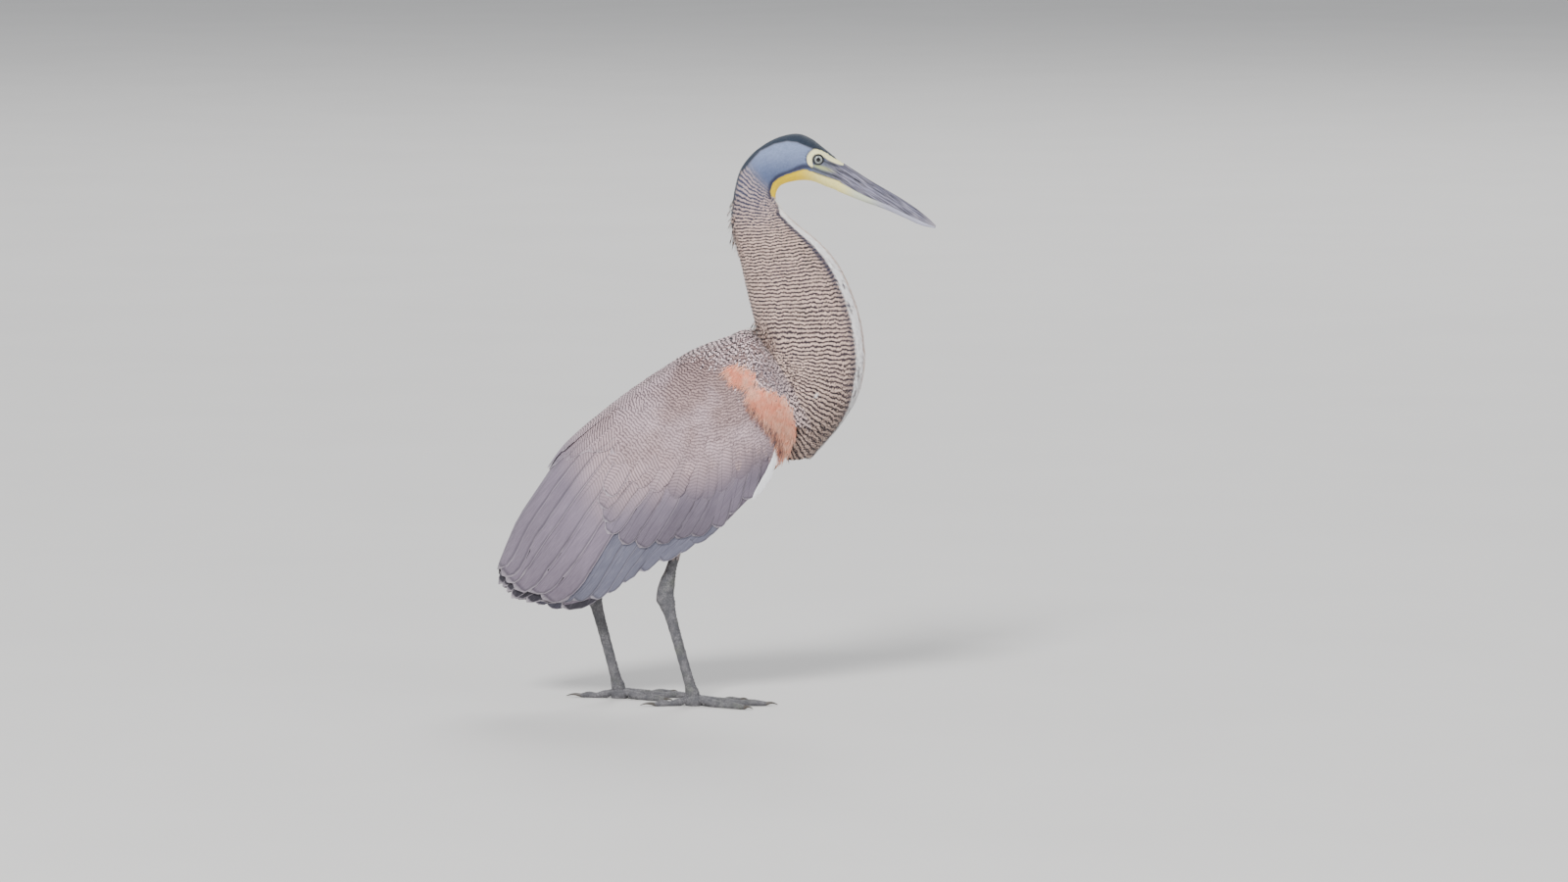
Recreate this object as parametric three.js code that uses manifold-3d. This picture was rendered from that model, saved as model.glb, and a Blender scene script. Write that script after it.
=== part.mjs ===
// A bare-throated tiger heron standing on a level floor, at life size, as a still model.
// Millimetres. +Z is up, +X is the way the bird faces and +Y is its left side.
// The origin is on the floor, in the middle of the bird's length and width.
import * as THREE from "three";
import { mergeVertices } from "three/addons/utils/BufferGeometryUtils.js";
import Module from "manifold-3d";

const wasm = await Module();
wasm.setup();

// ---- Driving dimensions ----
const gap = 0.3; // clearance between nodes that touch
const sides = { right: -1, left: 1 };

// Body sections: a point on the upper outline, one on the lower, and half the width, all in mm.
const headAndNeck = [
  { upper: [131.5, 551.5], lower: [124.5, 524.0], half: 8 }, // bill base
  { upper: [120.5, 559.5], lower: [118.5, 526.0], half: 10 },
  { upper: [109.5, 568.5], lower: [112.5, 528.0], half: 13 },
  { upper: [97.5, 577.5], lower: [105.5, 531.0], half: 15.5 }, // eye
  { upper: [83.5, 582.5], lower: [98.5, 533.5], half: 17.5 }, // crown
  { upper: [65.5, 579.5], lower: [89.5, 534.5], half: 18 },
  { upper: [48.5, 571.0], lower: [80.5, 533.5], half: 17.5 },
  { upper: [34.5, 559.0], lower: [72.0, 531.5], half: 16.5 },
  { upper: [24.0, 543.0], lower: [65.5, 527.5], half: 16 }, // nape and throat
  { upper: [18.0, 517.5], lower: [63.0, 518.0], half: 16.5 },
  { upper: [16.0, 494.0], lower: [68.5, 504.5], half: 18.5 },
  { upper: [19.5, 473.5], lower: [84.5, 489.0], half: 21.5 },
  { upper: [25.5, 451.5], lower: [105.5, 472.0], half: 25 },
  { upper: [30.5, 429.5], lower: [124.5, 449.5], half: 28.5 },
  { upper: [36.5, 404.0], lower: [138.0, 421.5], half: 32 },
  { upper: [44.5, 374.0], lower: [148.0, 388.0], half: 35.5 },
  { upper: [52.5, 339.0], lower: [151.5, 350.0], half: 38 },
  { upper: [59.5, 303.5], lower: [144.5, 315.0], half: 37 },
  { upper: [64.5, 273.5], lower: [127.0, 285.0], half: 31 },
  { upper: [72.5, 251.5], lower: [103.0, 257.0], half: 17 }, // foot of the neck
];
const torsoAndRump = [
  { upper: [60, 350], lower: [84, 262], half: 30 }, // buried in the neck
  { upper: [37, 377], lower: [66, 246], half: 40 },
  { upper: [12, 369], lower: [50, 230], half: 47 },
  { upper: [-21, 355], lower: [27, 208], half: 51.5 },
  { upper: [-55, 333], lower: [4, 187], half: 53 },
  { upper: [-87, 308], lower: [-24, 172], half: 50.5 },
  { upper: [-119, 279], lower: [-57, 158], half: 45 },
  { upper: [-144, 245], lower: [-88, 145], half: 36.5 },
  { upper: [-164, 210], lower: [-118, 133], half: 25 }, // vent
  { upper: [-179, 180], lower: [-143, 124], half: 13 },
  { upper: [-190, 152], lower: [-168, 120], half: 4 },
];
// The folded wing's outer surface: the same kind of sections, counted from 0 at the bend of the wing.
const wingSections = [
  { upper: [57.5, 366.0], lower: [81.5, 241.5], half: 42 },
  { upper: [35.0, 383.0], lower: [64.5, 238.5], half: 48 },
  { upper: [12.0, 375.0], lower: [49.5, 223.0], half: 55 },
  { upper: [-22.5, 362.0], lower: [27.5, 200.0], half: 59.5 },
  { upper: [-57.0, 341.5], lower: [4.5, 178.0], half: 61 },
  { upper: [-90.5, 319.5], lower: [-25.5, 164.0], half: 59 },
  { upper: [-125.5, 293.0], lower: [-58.5, 149.0], half: 54 },
  { upper: [-155.5, 263.5], lower: [-88.5, 128.5], half: 47 },
  { upper: [-180.5, 227.0], lower: [-117.5, 108.0], half: 39 },
  { upper: [-203.5, 190.0], lower: [-145.5, 99.0], half: 30 },
  { upper: [-220.5, 150.0], lower: [-175.5, 95.0], half: 21 },
  { upper: [-231.5, 119.5], lower: [-198.5, 85.5], half: 12 },
];
// One section of the wing from its top edge to its lower edge, as shares of the half width and half height.
const wingProfile = [
  [0.0, 1.0],
  [0.36, 0.93],
  [0.64, 0.75],
  [0.9, 0.4],
  [1.0, 0.0],
  [0.96, -0.5],
  [0.72, -1.0],
];
const tailSections = [
  { upper: [-158, 222], lower: [-112, 140], half: 18 },
  { upper: [-181, 190], lower: [-133, 121], half: 16 },
  { upper: [-202, 156], lower: [-150, 103], half: 12 },
  { upper: [-219, 127], lower: [-161, 94], half: 8 },
];
const tailProfile = [
  [0.0, 1.0],
  [0.55, 0.84],
  [0.9, 0.45],
  [1.0, 0.0],
  [0.92, -0.5],
  [0.7, -1.0],
];

// Feathers: every vane is a curved blade that widens from its root and has a rounded tip.
const vaneOutline = [
  [0.0, 0.7],
  [0.4, 0.97],
  [0.78, 1.0],
  [0.955, 0.68],
  [1.0, 0.24],
]; // share of the length, share of the width
const vaneThick = 0.85;
const vaneClear = 0.35; // between one vane and the next that it covers

// The wing's tiers of feathers, the lowest first. A place on the wing is a section, counted as in
// wingSections, and a share of the way down from the back. Depths are under the wing's outer surface.
const wingTiers = {
  primaries: {
    count: 6,
    roots: [[5.4, 0.36], [5.2, 0.62], [4.8, 0.84]],
    tips: [[10.58, 0.3], [10.7, 0.58], [10.42, 0.84], [9.3, 1.0]],
    width: 19,
    depth: [4.6, 4.0],
  },
  secondaries: {
    count: 7,
    roots: [[5.6, 0.68], [4.2, 0.84], [2.6, 0.9]],
    tips: [[9.35, 0.93], [7.9, 0.975], [6.4, 0.985], [5.0, 0.985]],
    width: 19,
    depth: [4.0, 2.6],
  },
  tertials: {
    count: 6,
    roots: [[5.0, 0.22], [5.0, 0.42], [4.8, 0.6]],
    tips: [[10.3, 0.12], [10.4, 0.42], [10.18, 0.68], [9.7, 0.87]],
    width: 21,
    depth: [3.6, 1.0],
  },
  greaterCoverts: {
    count: 8,
    roots: [[4.9, 0.46], [4.7, 0.66], [3.3, 0.78], [1.7, 0.78]],
    tips: [[6.5, 0.6], [6.9, 0.76], [6.1, 0.92], [4.5, 0.965], [2.7, 0.975]],
    width: 24,
    depth: [3.3, 1.0],
  },
  medianCoverts: {
    count: 5,
    roots: [[4.0, 0.32], [3.3, 0.54], [2.0, 0.58]],
    tips: [[5.6, 0.52], [4.6, 0.74], [2.7, 0.8]],
    width: 22,
    depth: [3.0, 0.5],
  },
  scapulars: {
    count: 5,
    roots: [[3.2, 0.08], [2.6, 0.22], [2.2, 0.4]],
    tips: [[7.6, 0.07], [7.1, 0.2], [6.4, 0.36], [5.8, 0.5]],
    width: 22,
    depth: [3.0, 0.4],
  },
};
const tailTier = {
  count: 5,
  roots: [[0.4, 0.26], [0.4, 0.84]],
  tips: [[3.2, 0.24], [3.3, 0.5], [3.05, 0.93]],
  width: 18,
  depth: [2.8, 1.4],
};
const middleTailVane = { root: [0.4, 0], tip: [3.15, 0], width: 17, depth: [1.4, 0.2] };
const midline = 0.35; // wings keep this far from the middle plane

// Lines in the side view where the body is parted.
const cuts = {
  headNeck: [[29.5, 555], [69, 530]],
  neckHalves: [[30.5, 429.5], [124.5, 449.5]],
  neckTorso: [[32, 404], [76, 242]],
  torsoTail: [[-166, 211], [-118, 133]],
};
const eye = { radius: 7, at: [104, 8.7, 557], turn: 0.24, lid: 8.4, lidFlat: 0.73 };
const gape = { length: 31, deep: 5, high: 1.2, slope: 0.36, turn: 0.216, at: [113, 11.6, 539.2] };
const nostrilSlit = { radius: 0.8, deep: 4, stretch: 4.5, slope: 0.58, at: [144, 6.2, 535] };
const bill = {
  base: [[124.65, 524], [131.65, 551.5]], // where the feathers of the face end
  culmen: [[131.2, 551.6], [157, 535], [182, 520.5], [200.5, 508.5], [216, 496.5], [225.2, 487.6]],
  tomium: [[119, 537.5], [151.5, 520], [174.5, 510.5], [194.5, 500.7], [211, 492.8], [224.2, 486.9]],
  gonys: [[117, 526], [147, 514.5], [172, 505.5], [192, 496.8], [209, 489.2], [223.4, 486.1]],
  half: [7.6, 6.4, 5.2, 4.0, 2.6, 0.8],
};
const leg = {
  right: { hip: [-16, -20, 250], ankle: [-52.5, -15, 113], foot: [-22.5, -28, 7] },
  left: { hip: [-40, 20, 240], ankle: [-127.5, 15, 116], foot: [-99.5, 28, 7] },
  // share of the way from one joint to the next, half the depth fore and aft, half the width
  tibia: [
    [0, 27, 18],
    [0.35, 19, 14],
    [0.53, 10, 8.5],
    [0.62, 5.6, 4.8],
    [0.8, 5.4, 4.6],
    [0.93, 8.2, 5.6],
  ],
  tarsus: [
    [0.02, 9.4, 6.4],
    [0.1, 8.2, 6],
    [0.22, 6, 4.8],
    [0.55, 5.2, 4.4],
    [0.85, 5.6, 5.2],
    [0.97, 7.6, 6.6],
  ],
};
const footTop = 11; // height of the joint between the shank and the foot
const toes = {
  // degrees outwards from straight ahead, length without the claw, radius at the root, length of the claw
  middle: { turn: 2, length: 74, radius: 4.6, claw: 14 },
  inner: { turn: -30, length: 54, radius: 4.3, claw: 13 },
  outer: { turn: 30, length: 60, radius: 4.3, claw: 12 },
  hind: { turn: 172, length: 40, radius: 4.2, claw: 18 },
};

// ---- Solids and surfaces ----

// A closed three.js geometry as a solid, turned right side out.
function solid(geometry) {
  const bare = new THREE.BufferGeometry();
  bare.setAttribute("position", geometry.getAttribute("position"));
  bare.setIndex(geometry.getIndex());
  const merged = mergeVertices(bare, 1e-4);
  const triVerts = new Uint32Array(merged.getIndex().array);
  const build = () =>
    new wasm.Manifold(
      new wasm.Mesh({ numProp: 3, vertProperties: merged.getAttribute("position").array, triVerts }),
    );
  const made = build();
  if (made.volume() > 0) return made;
  for (let i = 0; i < triVerts.length; i += 3)
    [triVerts[i + 1], triVerts[i + 2]] = [triVerts[i + 2], triVerts[i + 1]];
  return build();
}

const join = (pieces) => pieces.reduce((whole, piece) => whole.add(piece));

// The largest closed surface of a solid: it fills a sealed hollow and drops a loose scrap.
function largest(made) {
  return made.decompose().reduce((a, b) => (b.volume() > a.volume() ? b : a));
}

function toMesh(name, made, color, roughness) {
  const { numVert, numProp, vertProperties, triVerts } = made.getMesh();
  const points = new Float32Array(numVert * 3);
  for (let i = 0; i < numVert; i++)
    points.set(vertProperties.subarray(i * numProp, i * numProp + 3), i * 3);
  const geometry = new THREE.BufferGeometry();
  geometry.setAttribute("position", new THREE.BufferAttribute(points, 3));
  geometry.setIndex(new THREE.BufferAttribute(triVerts, 1));
  geometry.computeVertexNormals();
  const material = new THREE.MeshStandardMaterial({ color, roughness, metalness: 0 });
  const mesh = new THREE.Mesh(geometry, material);
  mesh.name = name;
  return mesh;
}

// A smooth curve through points, at a place counted in points from 0, and straight on past its ends.
function through(points) {
  const curve = new THREE.CatmullRomCurve3(points, false, "catmullrom", 0.5);
  const last = points.length - 1;
  return (place) => {
    const inside = THREE.MathUtils.clamp(place, 0, last);
    const point = curve.getPoint(inside / last);
    if (inside === place) return point;
    const beyond = (place - inside) * points[0].distanceTo(points[1]);
    return point.addScaledVector(curve.getTangent(inside / last), beyond);
  };
}

// Sections as a function of the place along them: { centre, reach (centre to upper outline), half }.
function sectionsOf(rows, grow = 0) {
  const upper = through(rows.map(({ upper: [x, z], half }) => new THREE.Vector3(x, half, z)));
  const lower = through(rows.map(({ lower: [x, z], y = 0 }) => new THREE.Vector3(x, y, z)));
  return (place) => {
    const top = upper(place);
    const under = lower(place);
    const half = Math.max(top.y, 0.5) + grow;
    const y = under.y;
    top.y = under.y = 0;
    const centre = top.clone().add(under).multiplyScalar(0.5);
    const reach = top.sub(centre);
    reach.setLength(reach.length() + grow);
    centre.y = y;
    return { centre, reach, half };
  };
}

// A closed solid through sections. A cylinder's rings are moved onto them.
function loft(rows, around, along, grow = 0) {
  const at = sectionsOf(rows, grow);
  const geometry = new THREE.CylinderGeometry(1, 1, 1, around, along);
  const position = geometry.getAttribute("position");
  const point = new THREE.Vector3();
  for (let i = 0; i < position.count; i++) {
    point.fromBufferAttribute(position, i);
    const { centre, reach, half } = at((0.5 - point.y) * (rows.length - 1));
    const moved = centre.addScaledVector(reach, point.z);
    moved.y += point.x * half;
    position.setXYZ(i, moved.x, moved.y, moved.z);
  }
  return solid(geometry);
}

// A closed sheet: a grid of u and v from 0 to 1, placed once with w = 1 and once with w = 0, and a rim.
// Both faces are split into triangles alike.
function sheet(columns, rows, place) {
  const grid = new THREE.PlaneGeometry(1, 1, columns, rows);
  const flat = grid.getAttribute("position");
  const points = [];
  for (const w of [1, 0])
    for (let i = 0; i < flat.count; i++) points.push(...place(flat.getX(i) + 0.5, 0.5 - flat.getY(i), w));
  const faces = [];
  const index = grid.getIndex().array;
  for (let i = 0; i < index.length; i += 3) {
    const [a, b, c] = index.subarray(i, i + 3);
    faces.push(a, b, c, c + flat.count, b + flat.count, a + flat.count);
  }
  const rim = [];
  for (let c = 0; c < columns; c++) rim.push(c);
  for (let r = 0; r < rows; r++) rim.push(r * (columns + 1) + columns);
  for (let c = columns; c > 0; c--) rim.push(rows * (columns + 1) + c);
  for (let r = rows; r > 0; r--) rim.push(r * (columns + 1));
  rim.forEach((a, i) => {
    const b = rim[(i + 1) % rim.length];
    faces.push(a, b, b + flat.count, a, b + flat.count, a + flat.count);
  });
  const geometry = new THREE.BufferGeometry();
  geometry.setAttribute("position", new THREE.Float32BufferAttribute(points, 3));
  geometry.setIndex(faces);
  return solid(geometry);
}

// A plate standing on the line between two points of the side view, as thin as the gap,
// or reaching from that line to the left of its way by a depth.
function thinCut([[x0, z0], [x1, z1]], depth = 0) {
  const plate = new THREE.BoxGeometry(Math.hypot(x1 - x0, z1 - z0) + 24, 160, gap + depth);
  plate.translate(0, 0, depth / 2);
  plate.rotateY(-Math.atan2(z1 - z0, x1 - x0));
  plate.translate((x0 + x1) / 2, 0, (z0 + z1) / 2);
  return solid(plate);
}

// A surface laid over the body from sections and a profile: the point at a section and a place down
// the profile from 0 to 1, lifted off it in millimetres, straight away from the section's middle.
// A place below 0 is over the middle plane, on the other side.
function surfaceOf(rows, profile, side) {
  const at = sectionsOf(rows);
  const across = through(profile.map(([wide, high]) => new THREE.Vector3(wide, high, 0)));
  return (section, down, lift = 0) => {
    const { centre, reach, half } = at(section);
    const share = across(Math.abs(down) * (profile.length - 1));
    const arm = reach.multiplyScalar(share.y);
    arm.y = side * half * share.x * (down < 0 ? -1 : 1);
    arm.setLength(arm.length() + lift);
    return centre.add(arm);
  };
}

const byTop = (a, b) => b.boundingBox().max[2] - a.boundingBox().max[2];
const smooth = (value) => THREE.MathUtils.smoothstep(value, 0, 1);
const mix = THREE.MathUtils.lerp;

// ---- Head, neck, torso and the tail's root: modelled whole and parted with thin cuts ----
function fleshWith(grow) {
  return loft(headAndNeck, 20, 38, grow).add(loft(torsoAndRump, 20, 16, grow));
}

// The lids stand round the eyeball as a low mound, turned a little forwards as the eye is.
function lidMound(side) {
  const mound = new THREE.SphereGeometry(eye.lid, 14, 8);
  mound.rotateX(Math.PI / 2);
  mound.scale(1, eye.lidFlat, 0.94);
  mound.rotateZ(-side * eye.turn);
  mound.translate(eye.at[0], side * eye.at[1], eye.at[2]);
  return solid(mound);
}

function ball(radius, side, around, along) {
  const sphere = new THREE.SphereGeometry(radius, around, along);
  sphere.rotateX(Math.PI / 2);
  sphere.translate(eye.at[0], side * eye.at[1], eye.at[2]);
  return solid(sphere);
}

// The mouth's line runs on from the bill to the gape, as a groove in the cheek.
function gapeGroove(side) {
  const groove = new THREE.BoxGeometry(gape.length, gape.deep, gape.high);
  groove.rotateY(gape.slope);
  groove.rotateZ(-side * gape.turn);
  groove.translate(gape.at[0], side * gape.at[1], gape.at[2]);
  return solid(groove);
}

let flesh = fleshWith(0);
for (const side of Object.values(sides)) {
  flesh = flesh.add(lidMound(side));
  flesh = flesh.subtract(ball(eye.radius + gap, side, 14, 8));
  flesh = flesh.subtract(gapeGroove(side));
}
for (const cut of Object.values(cuts)) flesh = flesh.subtract(thinCut(cut));
const [head, neckUpper, neckLower, torso, tailRoot] = flesh
  .decompose()
  .filter((piece) => piece.volume() > 100)
  .sort(byTop);

// ---- Bill: modelled whole, parted along the mouth's line ----
const tomiumAt = through(bill.tomium.map(([x, z]) => new THREE.Vector3(x, 0, z)));

function mouthCut() {
  return sheet(12, 1, (u, v, w) => {
    const { x, z } = tomiumAt(mix(-0.3, bill.tomium.length - 0.4, u));
    return [x, (0.5 - v) * 40, z + (w - 0.5) * gap];
  });
}

function nostril(side) {
  const slit = new THREE.CylinderGeometry(nostrilSlit.radius, nostrilSlit.radius, nostrilSlit.deep, 6);
  slit.scale(nostrilSlit.stretch, 1, 1);
  slit.rotateY(nostrilSlit.slope);
  slit.translate(nostrilSlit.at[0], side * nostrilSlit.at[1], nostrilSlit.at[2]);
  return solid(slit);
}

function billHalves() {
  const rows = bill.culmen.map((upper, i) => ({ upper, lower: bill.gonys[i], half: bill.half[i] }));
  const behind = thinCut(bill.base, 40);
  const parts = loft(rows, 14, 14)
    .subtract(behind)
    .subtract(nostril(1))
    .subtract(nostril(-1))
    .subtract(mouthCut())
    .decompose()
    .sort((a, b) => b.volume() - a.volume());
  return parts.slice(0, 2);
}

// ---- Legs and feet ----
function legTube(joints, profile, [from, to]) {
  const start = new THREE.Vector3(...joints[from]);
  const end = new THREE.Vector3(...joints[to]);
  const down = end.clone().sub(start);
  const fore = new THREE.Vector3(-down.z, 0, down.x).normalize();
  return profile.map(([share, deep, half]) => {
    const centre = start.clone().addScaledVector(down, share);
    const front = centre.clone().addScaledVector(fore, deep);
    const back = centre.clone().addScaledVector(fore, -deep);
    return { upper: [front.x, front.z], lower: [back.x, back.z], half, y: centre.y };
  });
}

function wholeLeg(joints, grow = 0) {
  const tibia = legTube(joints, leg.tibia, ["hip", "ankle"]);
  const tarsus = legTube(joints, leg.tarsus, ["ankle", "foot"]);
  return loft([...tibia, ...tarsus], 10, 26, grow);
}

function toeRows(foot, side, toe) {
  const turn = THREE.MathUtils.degToRad(toe.turn) * side;
  const rows = [];
  const steps = 8;
  for (let i = 0; i <= steps; i++) {
    const share = i / steps;
    const knuckle = 1 + 0.12 * Math.cos(share * Math.PI * 5);
    const radius = toe.radius * mix(1, 0.66, share) * knuckle * (i === 0 || i === steps ? 0.6 : 1);
    const reach = share * toe.length;
    const x = foot[0] + Math.cos(turn) * reach;
    const y = foot[1] + Math.sin(turn) * reach;
    const z = radius * 0.82 + 3.2 * Math.exp(-(((share - 0.16) / 0.16) ** 2));
    rows.push({ x, y, z, radius });
  }
  return { rows, turn };
}

// A tube through centres with their own radius, its sections square to its way.
function tube(rows, around, along) {
  const curve = new THREE.CatmullRomCurve3(rows.map(({ x, y, z }) => new THREE.Vector3(x, y, z)));
  const radii = through(rows.map(({ radius }) => new THREE.Vector3(radius, 0, 0)));
  const geometry = new THREE.CylinderGeometry(1, 1, 1, around, along);
  const position = geometry.getAttribute("position");
  const up = new THREE.Vector3(0, 0, 1);
  const point = new THREE.Vector3();
  for (let i = 0; i < position.count; i++) {
    point.fromBufferAttribute(position, i);
    const share = THREE.MathUtils.clamp(0.5 - point.y, 0, 1);
    const way = curve.getTangent(share);
    const across = way.clone().cross(up).normalize();
    const above = across.clone().cross(way);
    const radius = radii(share * (rows.length - 1)).x;
    const moved = curve.getPoint(share);
    moved.addScaledVector(across, point.x * radius).addScaledVector(above, point.z * radius);
    position.setXYZ(i, moved.x, moved.y, moved.z);
  }
  return solid(geometry);
}

function floorBlock() {
  const block = new THREE.BoxGeometry(700, 400, 40);
  block.translate(0, 0, -20);
  return solid(block);
}

function clawOf(tip, turn, length) {
  const rows = [0, 0.3, 0.6, 0.85, 1].map((share) => {
    const reach = share * length * 0.92 - 1.2;
    return {
      x: tip.x + Math.cos(turn) * reach,
      y: tip.y + Math.sin(turn) * reach,
      z: tip.z + 0.6 + 1.6 * Math.sin(share * Math.PI * 0.9) - (tip.z - 0.2) * share ** 2,
      radius: mix(2.1, 0.35, share),
    };
  });
  return tube(rows, 6, 4);
}

// Everything beyond a toe's tip, starting a little before it, moved out by a distance.
function beyondToe(tip, turn, out) {
  const beyond = new THREE.BoxGeometry(30, 30, 30);
  beyond.translate(15 - 0.9 + out, 0, 0);
  beyond.rotateZ(turn);
  beyond.translate(tip.x, tip.y, tip.z);
  return solid(beyond);
}

function footAndClaws(joints, side) {
  const pad = new THREE.SphereGeometry(1, 10, 6);
  pad.scale(9, 8, 7);
  pad.translate(joints.foot[0], joints.foot[1], 4.2);
  const made = Object.entries(toes).map(([name, toe]) => ({ name, toe, ...toeRows(joints.foot, side, toe) }));
  let foot = join([solid(pad), ...made.map(({ rows }) => tube(rows, 7, 8))]).subtract(floorBlock());
  const claws = {};
  for (const { name, toe, rows, turn } of made) {
    const tip = rows[rows.length - 1];
    foot = largest(foot.subtract(beyondToe(tip, turn, 0)));
    const claw = clawOf(tip, turn, toe.claw).intersect(beyondToe(tip, turn, gap));
    claws[name] = largest(claw.subtract(floorBlock()));
  }
  return { foot, claws };
}

const grownFlesh = fleshWith(gap + 0.1);
const grownBody = join([grownFlesh, wholeLeg(leg.right, gap + 0.1), wholeLeg(leg.left, gap + 0.1)]);

// ---- Wings ----
// Where the wing's shield starts and ends at a place down its profile.
const wingFront = (down) => 1.5 - 1.6 * Math.sin(Math.PI * THREE.MathUtils.clamp(down * 1.05, 0, 1)) ** 0.8;
const wingRear = (down) => 6.0 - 0.9 * down ** 2;

// The wing's arm and skin, which the feathers grow from: thick at the shoulder, thin under the vanes.
function wingShield(surface) {
  return sheet(7, 7, (u, v, w) => {
    const section = mix(wingFront(v), wingRear(v), u);
    const covered = smooth((section - 2) / 2.6);
    const edge = smooth(Math.min(u * 6, 1));
    const lift = w ? -2.6 * covered - 1.6 * (1 - edge) : -5.2 + 1.4 * (1 - edge);
    return surface(section, v, lift).toArray();
  });
}

// One vane on a surface, from its root to its tip. Its lower edge stands higher than its upper edge,
// so that each vane covers the one below it.
function blade(surface, root, tip, width, [rootDepth, tipDepth], slope) {
  return sheet(vaneOutline.length - 1, 1, (u, v, w) => {
    const [share, wide] = vaneOutline[Math.round(u * (vaneOutline.length - 1))];
    const section = mix(root.x, tip.x, share);
    const down = mix(root.y, tip.y, share);
    const here = surface(section, down);
    const perSection = here.distanceTo(surface(section + 0.1, down)) / 0.1;
    const perDown = here.distanceTo(surface(section, down + 0.02)) / 0.02;
    const way = new THREE.Vector2((tip.x - root.x) * perSection, (tip.y - root.y) * perDown).normalize();
    const across = (v - 0.5) * width * wide;
    const lift = slope * across - mix(rootDepth, tipDepth, smooth(share)) - (w ? 0 : vaneThick);
    const aside = [section - (way.y * across) / perSection, down + (way.x * across) / perDown];
    return surface(...aside, lift).toArray();
  });
}

// A tier of vanes, side by side from the back downwards.
function tierOf(surface, { count, roots, tips, width, depth }) {
  const rootAt = through(roots.map(([section, down]) => new THREE.Vector3(section, down, 0)));
  const tipAt = through(tips.map(([section, down]) => new THREE.Vector3(section, down, 0)));
  const blades = Array.from({ length: count }, (_, i) => {
    const share = i / (count - 1);
    return { root: rootAt(share * (roots.length - 1)), tip: tipAt(share * (tips.length - 1)) };
  });
  const ends = blades.map(({ root, tip }) => [surface(root.x, root.y), surface(tip.x, tip.y)]);
  // how far apart neighbours lie, square to their own way, half way along
  const pitches = ends.slice(1).map(([root, tip], i) => {
    const way = tip.clone().sub(root);
    const step = tip.clone().add(root).sub(ends[i][0]).sub(ends[i][1]).multiplyScalar(0.5);
    return step.cross(way).length() / way.length();
  });
  const pitch = Math.min(...pitches);
  const slope = (vaneThick + vaneClear) / pitch;
  return blades.map(({ root, tip }) => blade(surface, root, tip, Math.min(width, pitch * 2.6), depth, slope));
}

// Everything on the other side of the middle plane, and a little of this one.
function beyondMidline(side) {
  const block = new THREE.BoxGeometry(700, 100, 700);
  block.translate(0, side * (midline - 50), 300);
  return solid(block);
}

function wingSolid(side) {
  const surface = surfaceOf(wingSections, wingProfile, side);
  const vanes = Object.values(wingTiers).flatMap((tier) => tierOf(surface, tier));
  const wing = join([wingShield(surface), ...vanes]).subtract(beyondMidline(side));
  return largest(wing.subtract(grownBody));
}

// ---- Tail ----
function tailSolid(root) {
  const [right, left] = Object.values(sides).map((side) => surfaceOf(tailSections, tailProfile, side));
  const { root: from, tip, width, depth } = middleTailVane;
  const middle = blade(left, new THREE.Vector2(...from), new THREE.Vector2(...tip), width, depth, 0);
  const vanes = join([...tierOf(right, tailTier), ...tierOf(left, tailTier), middle]);
  const behindTorso = vanes.subtract(thinCut(cuts.torsoTail, 60));
  return largest(root.add(behindTorso).subtract(wholeLeg(leg.left, gap + 0.1)));
}

// ---- The heron ----
const heron = new THREE.Group();
heron.name = "heron";
const tone = {
  slate: 0x2c3036,
  plume: 0x7d7169,
  neck: 0x8a7a66,
  wing: 0x8f8589,
  shank: 0x77726b,
  horn: 0x3c3b3a,
  bill: 0x5d5c61,
  pale: 0xc9c6a0,
  iris: 0xd8d6bd,
};
const add = (name, made, color, roughness = 0.85) => heron.add(toMesh(name, made, color, roughness));

add("head", head, tone.slate);
add("neck_upper", neckUpper, tone.neck);
add("neck_lower", neckLower, tone.neck);
add("torso", torso, tone.plume);

const [billUpper, billLower] = billHalves();
add("bill_upper", billUpper, tone.bill, 0.45);
add("bill_lower", billLower, tone.pale, 0.45);

for (const [name, side] of Object.entries(sides)) {
  add(`eye_${name}`, ball(eye.radius, side, 12, 8), tone.iris, 0.1);
  add(`wing_${name}`, wingSolid(side), tone.wing);
  const joints = leg[name];
  const { ankle, foot: base } = joints;
  const { foot, claws } = footAndClaws(joints, side);
  const [upperLeg, shank] = wholeLeg(joints)
    .subtract(grownFlesh)
    .subtract(thinCut([[ankle[0] - 20, ankle[2] + 7.5], [ankle[0] + 20, ankle[2] + 5]]))
    .subtract(thinCut([[base[0] - 20, footTop], [base[0] + 20, footTop]]))
    .decompose()
    .filter((piece) => piece.volume() > 300)
    .sort(byTop);
  add(`thigh_${name}`, upperLeg, tone.plume);
  add(`shank_${name}`, shank, tone.shank, 0.6);
  const aboveFoot = thinCut([[base[0] - 30, footTop], [base[0] + 30, footTop]], 20);
  add(`foot_${name}`, largest(foot.subtract(aboveFoot)), tone.shank, 0.6);
  for (const [toe, claw] of Object.entries(claws)) add(`claw_${toe}_${name}`, claw, tone.horn, 0.4);
}
add("tail", tailSolid(tailRoot), tone.slate);

export default heron;
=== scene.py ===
import math

import bmesh
import bpy
import numpy as np
from mathutils import Matrix, Vector
from mathutils.bvhtree import BVHTree
from mathutils.kdtree import KDTree


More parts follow.
